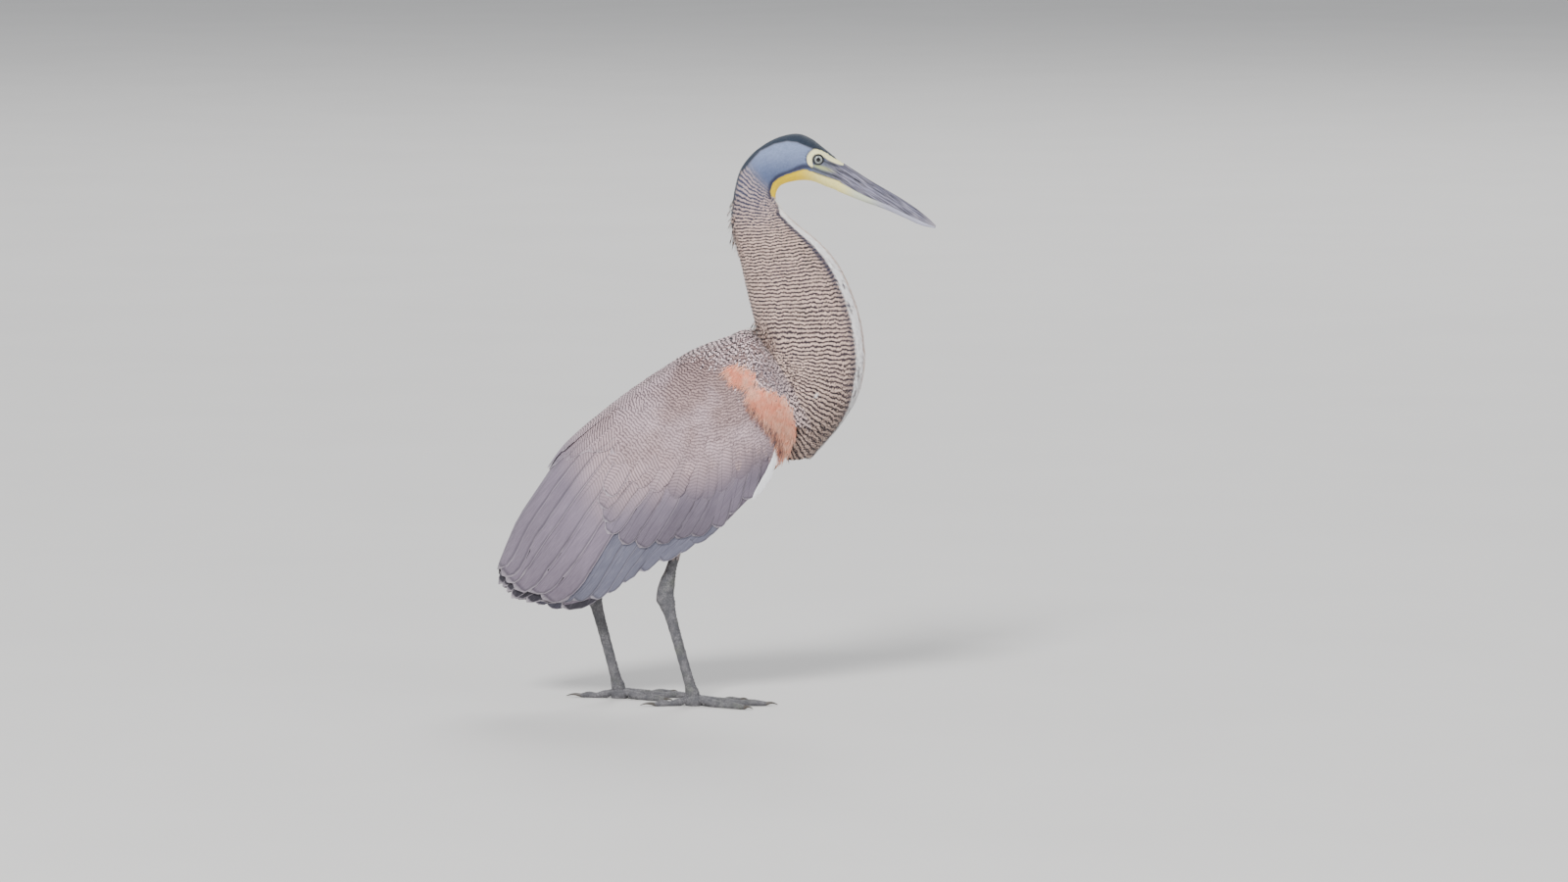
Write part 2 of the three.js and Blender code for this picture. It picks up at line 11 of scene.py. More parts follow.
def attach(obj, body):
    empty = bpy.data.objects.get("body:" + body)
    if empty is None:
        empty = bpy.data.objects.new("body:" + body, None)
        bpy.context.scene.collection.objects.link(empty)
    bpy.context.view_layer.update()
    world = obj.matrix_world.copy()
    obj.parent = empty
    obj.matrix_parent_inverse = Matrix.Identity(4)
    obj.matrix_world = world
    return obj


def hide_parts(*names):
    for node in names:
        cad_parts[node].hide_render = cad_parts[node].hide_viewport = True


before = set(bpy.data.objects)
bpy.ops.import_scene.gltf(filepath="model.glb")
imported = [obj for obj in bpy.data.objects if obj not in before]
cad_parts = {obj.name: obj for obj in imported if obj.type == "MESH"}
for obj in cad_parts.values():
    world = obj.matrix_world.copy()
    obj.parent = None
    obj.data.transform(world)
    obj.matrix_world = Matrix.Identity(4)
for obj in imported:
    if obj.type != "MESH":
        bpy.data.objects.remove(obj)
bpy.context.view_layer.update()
print("frame loaded,", len(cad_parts), "nodes")

# Sizes are in millimetres and become metres when a mesh is written.
mm = 0.001
sides = {"right": -1, "left": 1}

# Body sections: a point on the upper outline (x, z), one on the lower, and half the width.
headNeckRows = [
    (131.5, 551.5, 124.5, 524.0, 8),  # bill base
    (120.5, 559.5, 118.5, 526.0, 10),
    (109.5, 568.5, 112.5, 528.0, 13),
    (97.5, 577.5, 105.5, 531.0, 15.5),  # eye
    (83.5, 582.5, 98.5, 533.5, 17.5),  # crown
    (65.5, 579.5, 89.5, 534.5, 18),
    (48.5, 571.0, 80.5, 533.5, 17.5),
    (34.5, 559.0, 72.0, 531.5, 16.5),
    (24.0, 543.0, 65.5, 527.5, 16),  # nape and throat
    (18.0, 517.5, 63.0, 518.0, 16.5),
    (16.0, 494.0, 68.5, 504.5, 18.5),
    (19.5, 473.5, 84.5, 489.0, 21.5),
    (25.5, 451.5, 105.5, 472.0, 25),
    (30.5, 429.5, 124.5, 449.5, 28.5),
    (36.5, 404.0, 138.0, 421.5, 32),
    (44.5, 374.0, 148.0, 388.0, 35.5),
    (52.5, 339.0, 151.5, 350.0, 38),
    (59.5, 303.5, 144.5, 315.0, 37),
    (64.5, 273.5, 127.0, 285.0, 31),
    (72.5, 251.5, 103.0, 257.0, 17),  # foot of the neck
]
torsoRows = [
    (60, 350, 84, 262, 30),
    (37, 377, 66, 246, 40),
    (12, 369, 50, 230, 47),
    (-21, 355, 27, 208, 51.5),
    (-55, 333, 4, 187, 53),
    (-87, 308, -24, 172, 50.5),
    (-119, 279, -57, 158, 45),
    (-144, 245, -88, 145, 36.5),
    (-164, 210, -118, 133, 25),
    (-179, 180, -143, 124, 13),
    (-190, 152, -168, 120, 4),
]
# The folded wing's outer surface, counted from 0 at the bend of the wing.
wingRows = [
    (57.5, 366.0, 81.5, 241.5, 42),
    (35.0, 383.0, 64.5, 238.5, 48),
    (12.0, 375.0, 49.5, 223.0, 55),
    (-22.5, 362.0, 27.5, 200.0, 59.5),
    (-57.0, 341.5, 4.5, 178.0, 61),
    (-90.5, 319.5, -25.5, 164.0, 59),
    (-125.5, 293.0, -58.5, 149.0, 54),
    (-155.5, 263.5, -88.5, 128.5, 47),
    (-180.5, 227.0, -117.5, 108.0, 39),
    (-203.5, 190.0, -145.5, 99.0, 30),
    (-220.5, 150.0, -175.5, 95.0, 21),
    (-231.5, 119.5, -198.5, 85.5, 12),
]
wingProfile = [(0, 1), (0.36, 0.93), (0.64, 0.75), (0.9, 0.4), (1, 0), (0.96, -0.5), (0.72, -1)]
tailRows = [
    (-158, 222, -112, 140, 18),
    (-181, 190, -133, 121, 16),
    (-202, 156, -150, 103, 12),
    (-219, 127, -161, 94, 8),
]
tailProfile = [(0, 1), (0.55, 0.84), (0.9, 0.45), (1, 0), (0.92, -0.5), (0.7, -1)]


# A smooth line through points at places counted from 0, straight on past its ends.
def splineAt(points, place):
    points = np.asarray(points, float)
    place = np.asarray(place, float)
    last = len(points) - 1
    inside = np.clip(place, 0, last)
    step = np.minimum(inside.astype(int), last - 1)
    part = (inside - step)[..., None]
    padded = np.vstack([2 * points[0] - points[1], points, 2 * points[-1] - points[-2]])
    before, start, end, after = (padded[step + k] for k in range(4))
    slopeIn, slopeOut = (end - before) / 2, (after - start) / 2
    square = 3 * (end - start) - 2 * slopeIn - slopeOut
    cube = 2 * (start - end) + slopeIn + slopeOut
    made = start + slopeIn * part + square * part**2 + cube * part**3
    made += np.minimum(place, 0)[..., None] * (points[1] - points[0])
    return made + np.maximum(place - last, 0)[..., None] * (points[-1] - points[-2])


def smooth(value, low=0.0, high=1.0):
    share = np.clip((np.asarray(value, float) - low) / (high - low), 0, 1)
    return share * share * (3 - 2 * share)


# Vectors made one long.
def unit(vectors):
    return vectors / np.linalg.norm(vectors, axis=-1, keepdims=True)


# How far along a line of points each of them lies. A scale makes the steps between them count more or less.
def distances(line, scale=1.0):
    return np.r_[0, np.cumsum(np.linalg.norm(np.diff(line, axis=0), axis=1) * scale)]


# A surface over the body. A place on it is a section and either an angle round it from the upper outline
# or, with a profile, a share of the way down it. A lift goes straight out from the section's middle.
class Chart:
    def __init__(self, rows, profile=None, side=1):
        self.rows = np.asarray(rows, float)
        self.profile = profile
        self.side = side

    def sections(self, section):
        made = splineAt(self.rows, section)
        upper, lower, half = made[..., 0:2], made[..., 2:4], made[..., 4]
        y = made[..., 5] if made.shape[-1] > 5 else 0 * half
        return (upper + lower) / 2, (upper - lower) / 2, np.maximum(half, 0.5), y

    def __call__(self, section, round_, lift=0.0):
        section, round_, lift = np.broadcast_arrays(section, round_, lift)
        middle, reach, half, y = self.sections(section)
        if self.profile is None:
            wide, high = np.sin(round_), np.cos(round_)
        else:
            shares = splineAt(self.profile, np.abs(round_) * (len(self.profile) - 1))
            wide, high = shares[..., 0] * np.sign(round_ + 1e-9), shares[..., 1]
        arm = np.stack([reach[..., 0] * high, self.side * half * wide, reach[..., 1] * high], -1)
        arm *= (1 + lift / np.maximum(np.linalg.norm(arm, axis=-1), 1e-6))[..., None]
        arm += np.stack([middle[..., 0], y, middle[..., 1]], -1)
        return arm

    # how the surface runs at a place: one vector for each section on, one for each unit round
    def runs(self, section, round_):
        small = 0.02
        along = (self(section + small, round_) - self(section - small, round_)) / (2 * small)
        across = (self(section, round_ + small) - self(section, round_ - small)) / (2 * small)
        return along, across

    # how high up a section points lie, from -1 at the lower outline to 1 at the upper
    def height(self, section, points):
        middle, reach, _, _ = self.sections(section)
        return ((points[..., [0, 2]] - middle) * reach).sum(-1) / (reach**2).sum(-1)


headNeck = Chart(headNeckRows)
torso = Chart(torsoRows)
wings = {name: Chart(wingRows, wingProfile, side) for name, side in sides.items()}
tails = {name: Chart(tailRows, tailProfile, side) for name, side in sides.items()}


# The share of a patch of the side view at points: 1 well inside its outline, 0 outside, soft by so many mm.
def inPatch(points, outline, soft):
    x, z = points[..., 0], points[..., 2]
    outline = np.asarray(outline, float)
    nearest = np.full(x.shape, 1e9)
    inside = np.zeros(x.shape, bool)
    for (x0, z0), (x1, z1) in zip(outline, np.roll(outline, -1, axis=0)):
        dx, dz = x1 - x0, z1 - z0
        share = np.clip(((x - x0) * dx + (z - z0) * dz) / (dx * dx + dz * dz), 0, 1)
        nearest = np.minimum(nearest, np.hypot(x - x0 - share * dx, z - z0 - share * dz))
        crosses = (z0 > z) != (z1 > z)
        at = x0 + (z - z0) * dx / (dz if abs(dz) > 1e-9 else 1e-9)
        inside ^= crosses & (x < at)
    return smooth(np.where(inside, nearest, -nearest), -soft, soft)


# The share of a stripe of the side view, soft in the same way: a smooth line of points (x, z, half width).
def inStripe(points, line, soft):
    fine = splineAt(line, np.linspace(0, len(line) - 1, 12 * len(line)))
    x, z = points[..., 0, None], points[..., 2, None]
    return smooth((fine[:, 2] - np.hypot(x - fine[:, 0], z - fine[:, 1])).max(-1), -soft, soft)


def addObject(name, mesh, material=None):
    piece = bpy.data.objects.new(name, mesh)
    bpy.context.scene.collection.objects.link(piece)
    if material:
        mesh.materials.append(material)
    return piece


def meshOf(bm, name, sharp=None):
    bmesh.ops.recalc_face_normals(bm, faces=bm.faces)
    mesh = bpy.data.meshes.new(name)
    bm.to_mesh(mesh)
    bm.free()
    mesh.shade_smooth()
    if sharp:
        mesh.set_sharp_from_angle(angle=math.radians(sharp))
    return mesh


# The edges of a circle just made.
def ringOf(made):
    return list({edge for vert in made["verts"] for edge in vert.link_edges})


# Rings of edges bridged one to the next, with both ends capped.
def joinRings(bm, rings):
    for one, other in zip(rings, rings[1:]):
        bmesh.ops.bridge_loops(bm, edges=one + other)
    for end in (rings[0], rings[-1]):
        bmesh.ops.contextual_create(bm, geom=end)


# Rings through a chart, joined and capped. Each ring is a circle carried onto its section. The relief gives
# how far a place stands out, from its section and its angle round from the upper outline.
def loft(bm, chart, places, segments, grow, relief=None):
    rings = []
    grow = np.broadcast_to(grow, len(places))
    middle, reach, half, y = chart.sections(np.asarray(places, float))
    for i in range(len(places)):
        length = np.linalg.norm(reach[i])
        up = Vector((reach[i][0], 0, reach[i][1])) * (1 + grow[i] / length) * mm
        across = Vector((0, (half[i] + grow[i]) * mm, 0))
        place = Matrix((up, across, across.cross(up).normalized())).transposed().to_4x4()
        place.translation = Vector((middle[i][0], y[i], middle[i][1])) * mm
        made = bmesh.ops.create_circle(bm, cap_ends=False, segments=segments, radius=1)
        for vert in made["verts"]:
            out = 1.0
            if relief:
                out += relief(places[i], math.atan2(vert.co.y, vert.co.x)) / length
            vert.co = place @ (vert.co * out)
        rings.append(ringOf(made))
    joinRings(bm, rings)


# A tube through centres, each with its own radius, round in section.
def tube(bm, centres, radii, segments):
    centres = [Vector(c) for c in centres]
    rings = []
    for i, centre in enumerate(centres):
        way = (centres[min(i + 1, len(centres) - 1)] - centres[max(i - 1, 0)]).normalized()
        across = way.cross(Vector((0, 0, 1))).normalized()
        up = across.cross(way)
        place = Matrix((across * radii[i] * mm, up * radii[i] * mm, way)).transposed().to_4x4()
        place.translation = centre * mm
        made = bmesh.ops.create_circle(bm, cap_ends=False, segments=segments, radius=1, matrix=place)
        rings.append(ringOf(made))
    joinRings(bm, rings)


def sphere(name, matrix, radius, segments):
    around, high = segments
    bm = bmesh.new()
    bmesh.ops.create_uvsphere(bm, u_segments=around, v_segments=high, radius=radius, matrix=matrix)
    return meshOf(bm, name)


# A mesh without what lies beyond a plane, with the cut closed.
def cutOff(bm, name, at, way):
    geometry = bm.verts[:] + bm.edges[:] + bm.faces[:]
    bmesh.ops.bisect_plane(bm, geom=geometry, plane_co=at, plane_no=way, clear_outer=True)
    bmesh.ops.holes_fill(bm, edges=[edge for edge in bm.edges if edge.is_boundary])
    return meshOf(bm, name)


# A place given for the left side in mm, carried to either side.
def onSide(side, place):
    x, y, z = place
    return Vector((x, side * y, z)) * mm


# One mesh joined to or cut by another, with the tool then removed.
def combined(mesh, tool, operation):
    target = addObject("combining", mesh)
    cutter = addObject("cutter", tool)
    step = target.modifiers.new("step", "BOOLEAN")
    step.operation = operation
    step.solver = "EXACT"
    step.object = cutter
    made = bpy.data.meshes.new_from_object(target.evaluated_get(bpy.context.evaluated_depsgraph_get()))
    for old in (target, cutter):
        bpy.data.objects.remove(old)
    return made


def pointsOf(mesh):
    flat = np.zeros(len(mesh.vertices) * 3, np.float32)
    mesh.vertices.foreach_get("co", flat)
    return flat.reshape(-1, 3).astype(float) / mm


def addMarks(mesh, marks):
    for name, values in marks.items():
        values = np.broadcast_to(np.asarray(values, np.float32), (len(mesh.vertices),))
        mesh.attributes.new(name, "FLOAT", "POINT").data.foreach_set("value", values.ravel())


# A vane's pattern: where each vertex is along it, across it from -1 to 1, and whether it is on the top face.
def vanePattern(outline, columns, solid):
    bm = bmesh.new()
    bmesh.ops.create_grid(bm, x_segments=len(outline) - 1, y_segments=columns, size=0.5)
    bm.verts.ensure_lookup_table()
    layer = bm.verts.layers.float.new("top")
    for vert in bm.verts:
        row = round((vert.co.x + 0.5) * (len(outline) - 1))
        vert.co.x, vert.co.y = outline[row][0], 2 * vert.co.y
        vert[layer] = 1
    if solid:
        made = bmesh.ops.duplicate(bm, geom=bm.verts[:] + bm.edges[:] + bm.faces[:])
        under = [item for item in made["geom"] if isinstance(item, bmesh.types.BMFace)]
        for vert in {vert for face in under for vert in face.verts}:
            vert[layer] = 0
            vert.co.z = -0.1
        bmesh.ops.reverse_faces(bm, faces=under)
        bmesh.ops.bridge_loops(bm, edges=[edge for edge in bm.edges if edge.is_boundary])
    else:
        for end in (0, len(outline) - 1):
            row = [vert for vert in bm.verts if abs(vert.co.x - outline[end][0]) < 1e-6]
            bmesh.ops.pointmerge(bm, verts=row, merge_co=(outline[end][0], 0, 0))
        bmesh.ops.contextual_create(bm, geom=[edge for edge in bm.edges if edge.is_boundary])
    bm.verts.index_update()
    bm.verts.ensure_lookup_table()
    along = np.array([vert.co.x for vert in bm.verts])
    across = np.array([vert.co.y for vert in bm.verts])
    faces = [[vert.index for vert in face.verts] for face in bm.faces]
    pattern = {
        "along": along,
        "across": across,
        "wide": np.interp(along, [share for share, wide in outline], [wide for share, wide in outline]),
        "top": np.array([vert[layer] for vert in bm.verts]),
        "loops": np.array([index for face in faces for index in face]),
        "totals": np.array([len(face) for face in faces]),
        "solid": solid,
    }
    bm.free()
    return pattern


smallVane = vanePattern([(0, 0), (0.3, 0.85), (0.6, 1), (0.84, 0.58), (1, 0)], 2, False)
hairVane = vanePattern([(0, 0), (0.35, 1), (0.75, 0.6), (1, 0)], 2, False)
coverOutline = [(0, 0), (0.2, 0.62), (0.42, 0.9), (0.62, 1), (0.8, 0.86), (0.93, 0.52), (1, 0)]
coverVane = vanePattern(coverOutline, 4, False)
largeShape = {
    "steps": 16,
    "columns": 6,
    "root": 0.32,  # how wide it is at its root
    "widest": 0.42,  # where it is first at its full width
    "crowd": 1.25,  # how much closer the steps lie toward the tip
    "round": 2.4,  # the more, the blunter its tip
    "least": 0.05,  # how wide it is at the very tip
}


# The vane of a large feather, which narrows over a share of its length at the tip.
def largeVane(tip):
    outline = []
    for i in range(largeShape["steps"] + 1):
        share = 1 - (1 - i / largeShape["steps"]) ** largeShape["crowd"]
        rise = largeShape["root"] + (1 - largeShape["root"]) * smooth(share / largeShape["widest"])
        fall = math.sqrt(max(0.0, 1 - max(0.0, (share - (1 - tip)) / tip) ** largeShape["round"]))
        outline.append((share, max(largeShape["least"], rise * fall)))
    return vanePattern(outline, largeShape["columns"], True)


# Places in rows over a chart, a pitch of (along, across) mm apart, with every second row moved over.
def scattered(chart, fromTo, roundFromTo, pitch, rng, jitter=0.28):
    section, places, odd = fromTo[0], [], False
    fine = np.linspace(*roundFromTo, 40)
    while section < fromTo[1]:
        along, across = pitch(section)
        lengths = distances(chart(section, fine))
        count = max(2, round(lengths[-1] / across))
        shares = (np.arange(count) + (0.5 if odd else 0.0) + rng.uniform(-jitter, jitter, count)) / count
        rounds = np.interp(shares * lengths[-1], lengths, fine)
        run = chart(section + 0.05, rounds) - chart(section - 0.05, rounds)
        perSection = max(np.mean(np.linalg.norm(run, axis=-1) / 0.1), 1e-3)
        sections = section + rng.uniform(-jitter, jitter, count) * along / perSection
        places.append(np.stack([sections, rounds], -1))
        section += along / perSection
        odd = not odd
    return np.concatenate(places)


# The places of the tips of vanes that start at roots and lie a given way, as vectors in space.
def tipsOf(chart, roots, ways, lengths):
    along, across = chart.runs(*roots.T)
    dot = lambda one, other: (one * other).sum(-1)
    a, b, c = dot(along, along), dot(along, across), dot(across, across)
    p, q = dot(along, ways), dot(across, ways)
    spread = np.maximum(a * c - b * b, 1e-9)
    steps = np.stack([(c * p - b * q) / spread, (a * q - b * p) / spread], -1)
    moved = along * steps[:, :1] + across * steps[:, 1:]
    return roots + steps * (lengths / np.maximum(np.linalg.norm(moved, axis=-1), 1e-6))[:, None]


# Many vanes over a chart as one mesh: each bends with the surface from its root to its tip. The look says how
# high root and tip lie, how they arch, tilt, bend and fray, and how much one differs from the next, in mm.
def vanes(name, chart, roots, tips, widths, pattern, look, rng, unwrap, phases=0.0):
    count, size = len(roots), len(pattern["along"])
    each = np.ones((count, 1))
    share = pattern["along"][None, :]
    sideways, wide = pattern["across"], pattern["wide"]
    sectionTo = (tips - roots)[:, None, :]
    centre = roots[:, None, :] + sectionTo * share[..., None]
    along, across = chart.runs(centre[..., 0], centre[..., 1])
    perSection, perRound = np.linalg.norm(along, axis=-1), np.linalg.norm(across, axis=-1)
    way = np.stack([sectionTo[..., 0] * perSection, sectionTo[..., 1] * perRound], -1)
    way /= np.maximum(np.linalg.norm(way, axis=-1, keepdims=True), 1e-9)
    widths = np.broadcast_to(widths, (count,))[:, None]
    bend = look.get("bend", 0.0) * rng.normal(0, 1, (count, 1))
    aside = widths / 2 * sideways * wide + bend * share**2
    if "fray" in look:
        fringe = np.sign(sideways) * np.abs(sideways) ** 3 * smooth(share, 0.25, 0.7)
        aside = aside - fringe * widths * look["fray"] * rng.random((count, size)) ** 3
    tilt = look.get("tilt", 0.0) + rng.normal(0, look.get("roll", 0.0), (count, 1))
    lift = look["root"] + (look["tip"] - look["root"]) * smooth(share) ** look.get("ease", 1.0)
    lift = lift + rng.normal(0, look.get("stray", 0.0), (count, 1)) * share + tilt * aside
    lift = lift + look["camber"] * (1 - sideways**2) * wide
    if pattern["solid"]:
        shaft = look["shaft"] * (np.abs(sideways) < 0.01) * (1 - 0.6 * share)
        lift = lift + np.where(pattern["top"] > 0.5, shaft, -look["thick"])
    sections = centre[..., 0] - way[..., 1] * aside / np.maximum(perSection, 1e-6)
    rounds = centre[..., 1] + way[..., 0] * aside / np.maximum(perRound, 1e-6)
    points = chart(sections, rounds, lift)
    mesh = bpy.data.meshes.new(name)
    mesh.vertices.add(count * size)
    mesh.vertices.foreach_set("co", (points * mm).astype(np.float32).ravel())
    loops = (pattern["loops"][None, :] + size * np.arange(count)[:, None]).ravel()
    mesh.loops.add(len(loops))
    mesh.loops.foreach_set("vertex_index", loops.astype(np.int32))
    starts = np.r_[0, np.cumsum(np.tile(pattern["totals"], count))[:-1]]
    mesh.polygons.add(len(starts))
    mesh.polygons.foreach_set("loop_start", starts.astype(np.int32))
    mesh.update(calc_edges=True)
    mesh.validate()
    lengths = np.linalg.norm(chart(*tips.T) - chart(*roots.T), axis=-1)[:, None]
    phases = np.broadcast_to(phases, (count,))[:, None]
    addMarks(mesh, {
        "barPhase": (phases + share * lengths - look.get("chevron", 0.2) * np.abs(aside)).ravel(),
        "aside": aside.ravel(),
        "alongVane": (share * each).ravel(),
        "edge": np.maximum(np.abs(sideways) * each, smooth(share, 0.8, 1.0)).ravel(),
        "tone": np.repeat(rng.uniform(-1, 1, count), size),
    })
    bake = mesh.uv_layers.new(name="OFBake")
    patch = look.get("patch", (0.003, 0.003))
    spread = np.stack([patch[0] * sideways * wide / 2 * each, patch[1] * (share - 0.5) * each], -1)
    at = unwrap(roots)[:, None, :] + spread
    bake.data.foreach_set("uv", at.reshape(-1, 2)[loops].astype(np.float32).ravel())
    mesh.shade_smooth()
    mesh.set_sharp_from_angle(angle=math.radians(look.get("sharp", 50)))
    return mesh


# One value for each vane, given to all its vertices.
def perVertex(values, pattern):
    return np.repeat(values, len(pattern["along"]))


def colour(red, green, blue):
    return tuple(((c / 255 + 0.055) / 1.055) ** 2.4 for c in (red, green, blue)) + (1.0,)


# A number in a material's formula.
class Wire:
    def __init__(self, finish, socket):
        self.finish, self.socket = finish, socket

    def maths(self, operation, *values, clamp=False):
        settings = {"operation": operation, "use_clamp": clamp}
        return self.finish.node("ShaderNodeMath", settings, dict(enumerate(values)))

    def __add__(self, other):
        return self.maths("ADD", self, other)

    def __mul__(self, other):
        return self.maths("MULTIPLY", self, other)

    def __sub__(self, other):
        return self.maths("SUBTRACT", self, other)

    def __rsub__(self, other):
        return self.maths("SUBTRACT", other, self)

    __radd__ = __add__
    __rmul__ = __mul__

    def sine(self):
        return self.maths("SINE", self)

    def size(self):
        return self.maths("ABSOLUTE", self)

    def clamped(self):
        return self.maths("ADD", self, 0.0, clamp=True)

    # 0 below the first value, 1 above the second
    def between(self, low, high):
        return self.finish.node("ShaderNodeMapRange", {"interpolation_type": "SMOOTHSTEP"},
                                {"Value": self, "From Min": low, "From Max": high})


# A material: its shader's constants, and the nodes that are wired to it.
class Finish:
    def __init__(self, name, **constants):
        self.material = bpy.data.materials.new(name)
        self.material.use_nodes = True
        self.tree = self.material.node_tree
        self.shader = self.tree.nodes["Principled BSDF"]
        for key, value in constants.items():
            self.shader.inputs[key.replace("_", " ")].default_value = value

    def node(self, kind, settings=None, inputs=None, output=0):
        made = self.tree.nodes.new(kind)
        for key, value in (settings or {}).items():
            setattr(made, key, value)
        for key, value in (inputs or {}).items():
            if isinstance(value, Wire):
                self.tree.links.new(value.socket, made.inputs[key])
            else:
                made.inputs[key].default_value = value
        return Wire(self, made.outputs[output])

    def mark(self, name):
        return self.node("ShaderNodeAttribute", {"attribute_name": name}, output="Fac")

    def place(self):
        return self.node("ShaderNodeTexCoord", output="Object")

    def axes(self):
        outputs = self.node("ShaderNodeSeparateXYZ", None, {0: self.place()}).socket.node.outputs
        return [Wire(self, outputs[i]) for i in range(3)]

    def stretched(self, scale, turn=(0, 0, 0), place=None):
        return self.node("ShaderNodeMapping", None, {
            "Vector": place or self.place(), "Scale": scale, "Rotation": turn})

    def noise(self, scale, detail=3.0, place=None):
        return self.node("ShaderNodeTexNoise", None, {
            "Vector": place or self.place(), "Scale": scale, "Detail": detail, "Roughness": 0.55})

    # noise drawn out into streaks that run down at a slope, in radians
    def streaks(self, scale, slope, stretch):
        turned = self.stretched((1, 1, 1), (0, slope, 0))
        return self.noise(scale, 4, self.stretched(stretch, place=turned))

    def mix(self, share, one, other):
        return self.node("ShaderNodeMix", {"data_type": "RGBA"}, {0: share, 6: one, 7: other}, output=2)

    # colours laid one after another over a base, each where the mark of its name is
    def marked(self, base, colours):
        for name, over in colours.items():
            base = self.mix(self.mark(name), base, over)
        return base

    def shaded(self, base, share):
        return self.node("ShaderNodeVectorMath", {"operation": "SCALE"}, {0: base, "Scale": share})

    def bump(self, height, strength, distance):
        inputs = {"Height": height, "Strength": strength, "Distance": distance}
        return self.node("ShaderNodeBump", None, inputs)

    def use(self, **links):
        for key, wire in links.items():
            self.tree.links.new(wire.socket, self.shader.inputs[key.replace("_", " ")])
        return self.material


def sheen(weight, roughness):
    return {"Sheen_Weight": weight, "Sheen_Roughness": roughness}


# Bars across a coat or a vane as a wave from -1 to 1, with a period in mm.
def barWave(f, period, waver):
    return ((f.mark("barPhase") + waver) * (2 * math.pi / period)).sine()


# Fine barbs on a vane, as light and dark lines that slope away from its shaft, and as height.
def barbs(f, pitch=0.55, slope=-0.9):
    along = f.mark("barPhase") + f.mark("aside").size() * slope
    return (along * (2 * math.pi / pitch) + f.noise(900) * 3).sine() * 0.5 + 0.5


plumage = {
    "barDark": colour(24, 16, 18),
    "barPale": colour(242, 210, 194),
    "backBar": colour(30, 20, 28),
    "backPale": colour(246, 220, 222),
    "cap": colour(30, 40, 54),
    "capGloss": colour(52, 68, 88),
    "cheek": colour(76, 90, 130),
    "cheekPale": colour(148, 164, 201),
    "white": colour(255, 252, 253),
    "streak": colour(204, 150, 112),
    "edging": colour(48, 48, 74),
    "belly": colour(186, 150, 124),
    "down": colour(152, 143, 146),
    "lower": colour(82, 68, 78),
    "period": 4.3,
    "slope": 8,  # how many mm further down the neck a bar runs at the throat than at the back of the neck
}


def bodyPlumage():
    f = Finish("barredPlumage", Roughness=0.72, Specular_IOR_Level=0.3, **sheen(0.18, 0.5))
    across = f.stretched((1, 1, 0.3))
    waver = f.noise(135, 1, across) * 4.6 + f.noise(48, 1, across) * 4.5 + f.noise(420, 1) * 2.0
    strength = 0.55 + f.noise(34, 2).between(0.36, 0.6) * 0.4
    bar = barWave(f, plumage["period"], waver) * strength + 0.16
    bar = (bar + f.mark("back") * 0.1 + f.noise(380, 2) * 0.64).clamped()
    grain = f.noise(700, 3)
    x, _, z = f.axes()
    cheek = f.noise(120, 3) * 0.3 + z.between(0.534, 0.572) * 0.8
    dark = f.mix(f.noise(26, 2), plumage["barDark"], plumage["lower"])
    base = f.mix(bar, dark, plumage["barPale"])
    base = f.marked(base, {"back": f.mix(bar, plumage["backBar"], plumage["backPale"])})
    plain = f.marked(plumage["down"], {"belly": plumage["belly"]})
    base = f.marked(plain, {
        "bars": base,
        "cheek": f.mix(cheek, plumage["cheek"], plumage["cheekPale"]),
        "edging": plumage["edging"],
        "white": plumage["white"],
        "streak": plumage["streak"],
        "cap": f.mix(grain, plumage["cap"], plumage["capGloss"]),
    })
    line = barbs(f)
    under = x.between(0.06, 0.105) * (1 - z.between(0.27, 0.35))  # painted shade at the foot of the breast, which turns away from the light
    shade = 0.71 + f.mark("tone") * 0.07 + grain * 0.16 + line * 0.1
    shade = (shade + f.mark("white") * 0.13 + f.mark("back") * 0.06) * (1 - under * 0.32)
    return f.use(Base_Color=f.shaded(base, shade), Normal=f.bump(line, 0.35, 0.0002))


stage = {
    "aim": (69.5, 0, 268.5),
    "distance": 8000,
    "elevation": 6,
    "lens": 180,
    "sensor": 36,
    "farthest": 100,
    "floorSize": 30,
    "floor": (colour(220, 218, 215), colour(212, 210, 207)),
    "world": colour(226, 229, 234),
    "worldStrength": 0.75,
    "lampsAim": (0, 0, 0.3),
    "lamps": {  # each one's place and size in metres, and its power
        "key": ((-2.7, -8.4, 7.5), 2.7, 1500),
        "fill": ((7.8, -6.6, 4.2), 6.6, 170),
        "rim": ((1.8, 8.4, 7.2), 4.8, 560),
    },
}


